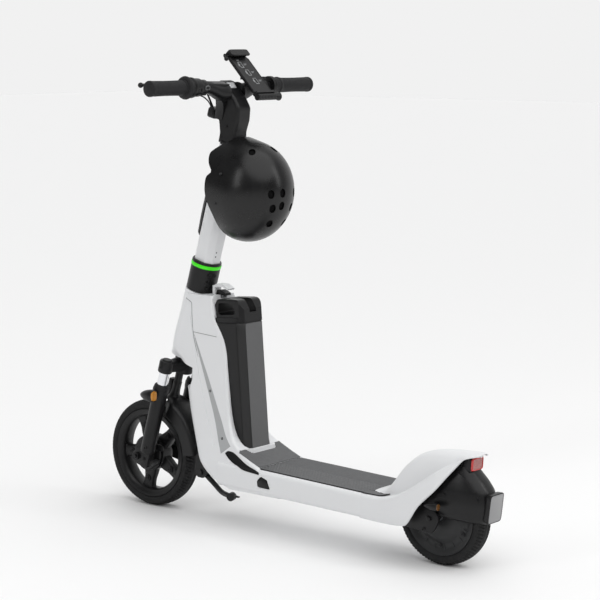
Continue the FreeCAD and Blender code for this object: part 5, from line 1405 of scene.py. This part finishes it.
# ---- battery, stem, collar, column details --------------------------------------------------
def battery():
    """Case painted darker on its sides as painted shade, with a lighter rear panel as painted light, a cap rim and
    two screws.
    """
    case = Build(LEANED)
    ring = rounded_corners([(0, -35, 7), (0, 35, 7), (16, 50, 9), (92, 50, 3), (92, -50, 3), (16, -50, 9)],
                           6)

    def at(level, inset):
        return [(46 + (x - 46) * (1 - inset / 46), y * (1 - inset / 50), level) for x, y in ring]

    case.loft([at(0, 2), at(2, 0)] + [at(2 + 360 * i / 12, 0)
                                      for i in range(1, 12)] + [at(362, 0), at(364, 0.8),
                                                                                      at(365.4, 1.6)])
    # The sides get the darker copy of the battery plastic as painted shade.
    case.done("battery_body", "battery_grey", "battery", ["battery_case"], crease=35, paint="battery_side")
    # The rear face keeps the lighter battery plastic, as painted light where the light falls more strongly.
    panel = Build(LEANED)
    panel.prism([(-0.3, a, 183 + b) for a, b in rounded_section(33.5, 180, 24, 64)], (0.8, 0, 0))
    panel.done("battery_rear_panel", "battery_grey", "battery", crease=35)
    cap_rim = Build(LEANED)
    cap_rim.loft([at(366.2, 1.4), at(367, 0.3), at(378, 0.5), at(380, 2.4)])
    cap_rim.done("battery_cap_rim", "black_plastic", "battery", crease=35)
    pins = Build(LEANED)
    for y in (-30, 30):
        pins.bolt((1.0, y, 372), (-1, 0, 0), 3.0, 1.4)
    pins.done("battery_cap_screws", "black_metal", "battery")


def stem():
    """Eight-sided stem tube on its round foot."""
    a, b, cut = 32.5, 30.0, 15.0
    corner = 2.2
    base = [(a - cut, b), (-a + cut, b), (-a, b - cut), (-a, -b + cut), (-a + cut, -b), (a - cut, -b),
            (a, -b + cut),
            (a, b - cut)]
    outline = rounded_corners([(x, y, corner) for x, y in base], 3)
    stem = Build(STEERED)
    stem.loft([[(p.x, p.y, level) for p in outline] for level in (731.2, 800, 900, 1000, 1055)])
    stem.rod((0, 0, 653), (0, 0, 1), 29.8, 78, 48)
    stem.done("stem_tube_smooth", "white_paint", "steering", ["stem_tube"], crease=22)
    holes = Build(STEERED)
    for level in (752, 764):
        holes.rod((-32.2, 8, level), (-1, 0, 0), 2.0, 0.5, 20)
    holes.rod((-32.2, 8, 940), (-1, 0, 0), 2.6, 0.5, 20)
    holes.done("stem_hole_shades", "white_paint", "steering", paint="tyre_rubber")


def collar_and_ring():
    """Clamp at the stem's foot and the green ring."""
    collar = Build(STEERED)
    collar.lathe_up((0, 0), [(30.2, 647), (38.4, 647), (40, 648.6), (40, 714.6), (38.6, 715), (38.6, 725),
                             (40, 725.4),
                             (40, 729.4), (38.4, 731.6), (30.2, 731.6)], 96)
    turn = Matrix.Rotation(math.radians(-18), 4, "Z")
    collar.placing = STEERED @ turn
    for level in (662, 700):
        for side in (-1, 1):
            collar.rod((-38.0, side * 7.5, level), (-1, 0, 0), 6.6, 3.2, 28, 5.8)
            collar.bolt((-40.6, side * 7.5, level), (-1, 0, 0), 4.3, 2.0)
    collar.rod((-38.5, 10, 681), (-1, 0, 0), 3.6, 2.4, 24)
    collar.box(-40.8, -37, -1.1, 1.1, 649, 713)
    collar.done("collar_clamp_body", "black_metal", "steering", ["collar_clamp"], crease=34)
    green = Build(STEERED)
    green.lathe_up((0, 0), [(37, 715.3), (40.5, 715.3), (41, 716), (41, 724), (40.5, 724.7), (37, 724.7)],
                   96)
    green.done("green_band", "green_plastic", "steering", ["green_ring"], crease=40)


def column_tree():
    """Finds the skin of the painted frame, so that trims can lie on it."""
    node = nodes["main_frame"]
    work = bmesh.new()
    work.from_mesh(node.data)
    work.transform(node.matrix_world)
    tree = BVHTree.FromBMesh(work)
    work.free()
    return tree


def on_flank(tree, x, z, side):
    """Point on the frame's side skin at (x, z), in millimetres, and its outward direction."""
    start = Vector((x * MM, side * 0.2, z * MM))
    place, normal, _, _ = tree.ray_cast(start, Vector((0, -side, 0)))
    if place is None:
        return None
    return place / MM, normal


def strip_on_flank(build, tree, path, side, width, lift):
    """Thin ribbon of changing width laid on the frame's flank along a path of (x, z)."""
    rows = []
    for i, (x, z) in enumerate(path):
        x0, z0 = path[max(i - 1, 0)]
        x1, z1 = path[min(i + 1, len(path) - 1)]
        run = Vector((x1 - x0, 0, z1 - z0)).normalized()
        cross = Vector((run.z, 0, -run.x))
        wide = width(i / (len(path) - 1))
        row = []
        for k in range(5):
            offset = (k / 4 - 0.5) * wide
            hit = on_flank(tree, x + cross.x * offset, z + cross.z * offset, side)
            if hit:
                place, normal = hit
                row.append(place + normal * lift)
        if len(row) == 5:
            rows.append(row)
    if len(rows) > 1:
        build.skin(rows)


def column_details():
    """Seams, a grey strip of painted shade along the groove, screws on the frame, and the charge flap."""
    tree = column_tree()
    seam = [(331, 600), (308, 588), (303, 548), (299, 506), (291, 475), (281, 446)]
    seam = [(x, z) for z, x in eased([(-z, x) for x, z in seam], 6)]
    seam = [(x, -z) for x, z in seam]
    groove = [(296, 505), (274, 451), (255, 408), (234, 359), (211, 305), (196, 272), (180, 239),
              (168, 222), (160, 212)]
    groove = [(-x, z) for x, z in eased([(-x, z) for x, z in groove], 5)]
    lines = Build()
    groove_shading = Build()
    screws = Build()
    for side in (-1, 1):
        strip_on_flank(lines, tree, seam, side, lambda t: 1.8, 0.5)
        # Grey strip widening downwards along the groove: painted shade of the recess.
        strip_on_flank(groove_shading, tree, groove, side, lambda t: 3.0 + 32.0 * t, 0.3)
        cross = [(300 - 5.0 * i, 512 - 0.35 * i) for i in range(18)]
        strip_on_flank(lines, tree, cross, side, lambda t: 1.5, 0.5)
        for x, z in ((234, 359), (180, 239)):
            hit = on_flank(tree, x, z, side)
            if hit:
                place, normal = hit
                screws.bolt(place - normal * 0.6, normal, 3.4, 1.6)
    lines.done("frame_seams", "white_paint", "frame", paint="seam_grey", thickness=0.2)
    groove_shading.done("frame_groove_inlay", "white_paint", "frame", paint="groove_grey", thickness=0.2)
    screws.done("frame_cover_screws", "black_metal", "frame")
    port = Build()
    port.prism([(34, 99, 136), (36, 99, 150), (22, 99, 163.5), (2, 99, 157), (-8, 99, 133.5)], (0, 4.2, 0))
    port.done("charge_flap", "black_plastic", "frame", ["charge_port_cover"], bevel=1.6)
    tab = Build()
    tab.tube([(24, 103.4, 160), (31, 103.4, 152)], 1.6, 10)
    tab.done("charge_flap_tab", "black_plastic", "frame")


def mat_tips():
    """Black tips of the mat that climb the frame's shoulders beside the battery; their black is painted shade of
    the hollow below the tray.
    """
    tree = column_tree()
    upper = eased([(30, 172), (80, 186), (104, 197), (121, 205), (137, 210.5), (150, 211), (158, 206)], 5)
    lower = eased([(30, 167), (77, 171), (104, 177), (121, 182), (137, 189), (150, 197), (158, 203)], 5)
    tips = Build()
    for side in (-1, 1):
        rows = []
        for (x, high), (_, low) in zip(upper, lower):
            row = []
            for k in range(8):
                hit = on_flank(tree, x, low + (high - low) * k / 7, side)
                if hit and 66 < abs(hit[0].y) < 106:
                    row.append(hit[0] + hit[1] * 0.9)
            if len(row) == 8:
                rows.append(row)
        if len(rows) > 1:
            tips.skin(rows)
    # Black sheets on the flanks: painted shade below the battery tray.
    tips.done("mat_tips", "mat_rubber", "frame", thickness=0.8, paint="black_plastic")


def mat_front():
    """Front of the mat, laid on the frame where it rises to the battery tray, as a dark sheet of painted shade in
    that hollow.
    """
    tree = column_tree()
    front = Build()
    spots = {}
    for i in range(64):
        for k in range(57):
            x = 30.0 + 2.0 * i
            y = -84.0 + 3.0 * k
            place, normal, _, _ = tree.ray_cast(Vector((x * MM, y * MM, 0.45)), Vector((0, 0, -1)))
            if place is not None and 0.165 < place.z < 0.216 and normal.z > 0.35:
                spots[i, k] = front.vert(tuple((place + normal * 0.0016) / MM))
    for i, k in spots:
        corners = [(i, k), (i + 1, k), (i + 1, k + 1), (i, k + 1)]
        if all(corner in spots for corner in corners):
            front.face([spots[corner] for corner in corners])
    # Dark rubber sheet: painted shade where the frame rises to the tray.
    front.done("mat_front", "mat_rubber", "frame", thickness=1.2, crease=60)


def dock_lining():
    """Dark sheet in the gap round the battery, painted shade of that gap."""
    gap_shade_sheet = Build(LEANED)
    wall = [(18, 50.6), (60, 50.6), (92.6, 50.6), (92.6, 0), (92.6, -50.6), (60, -50.6), (18, -50.6)]
    gap_shade_sheet.skin([[(x, y, level) for x, y in wall] for level in (75, 180, 270, 362)])
    for y in (-50.6, 50.6):
        gap_shade_sheet.skin([[(x, y, level) for x in (18, 60, 92)] for level in (3, 75)])
    # Black sheet in the gap round the battery: painted shade.
    gap_shade_sheet.done("dock_lining", "black_plastic", "frame")


def repaint(name, paint):
    """Gives one CAD piece a paint of its own."""
    for slot in nodes[name].material_slots:
        slot.material = materials[paint]


# ---- everything in its place ----------------------------------------------------------------
dress_cad_nodes()
repaint("front_axle", "black_metal")
repaint("bag_hook", "white_plastic")
tail()
deck_mat()
mat_rear_arms()
mat_edges()
fender()
fender_liner()
fender_slot()
signals()
tail_light()
reflector_box()
rear_hub()
rear_details()
tyre("rear_tyre_tread", "rear_tyre", REAR_WHEEL, "rear_wheel", 127.0, 27.5, 96.5, 84)
tyre("front_tyre_tread", "front_tyre", FRONT_WHEEL, "front_wheel", 149.0, 28.0, 119.0, 96)
front_wheel()
drum_brake()
fork_sliders()
fork_crown()
front_fender()
fender_stalk()
grips()
control_pods()
pod_switch()
brake_lever()
throttle_ring()
pod_buttons()
cables()
display()
neck_screws()
headlight()
stem_front_plate()
neck_shoulders()
phone_plate()
phone_plate_marks()
phone_jaw()
helmet_shell()
helmet_padding()
helmet_straps()
battery()
stem()
collar_and_ring()
column_details()
mat_tips()
mat_front()
dock_lining()
pale_floor()
backdrop()
overhead_sun()
camera()
softbox("key", (-3.2, -1.2, 2.4), 18)
softbox("side", (0.6, 3.9, 2.6), 22)
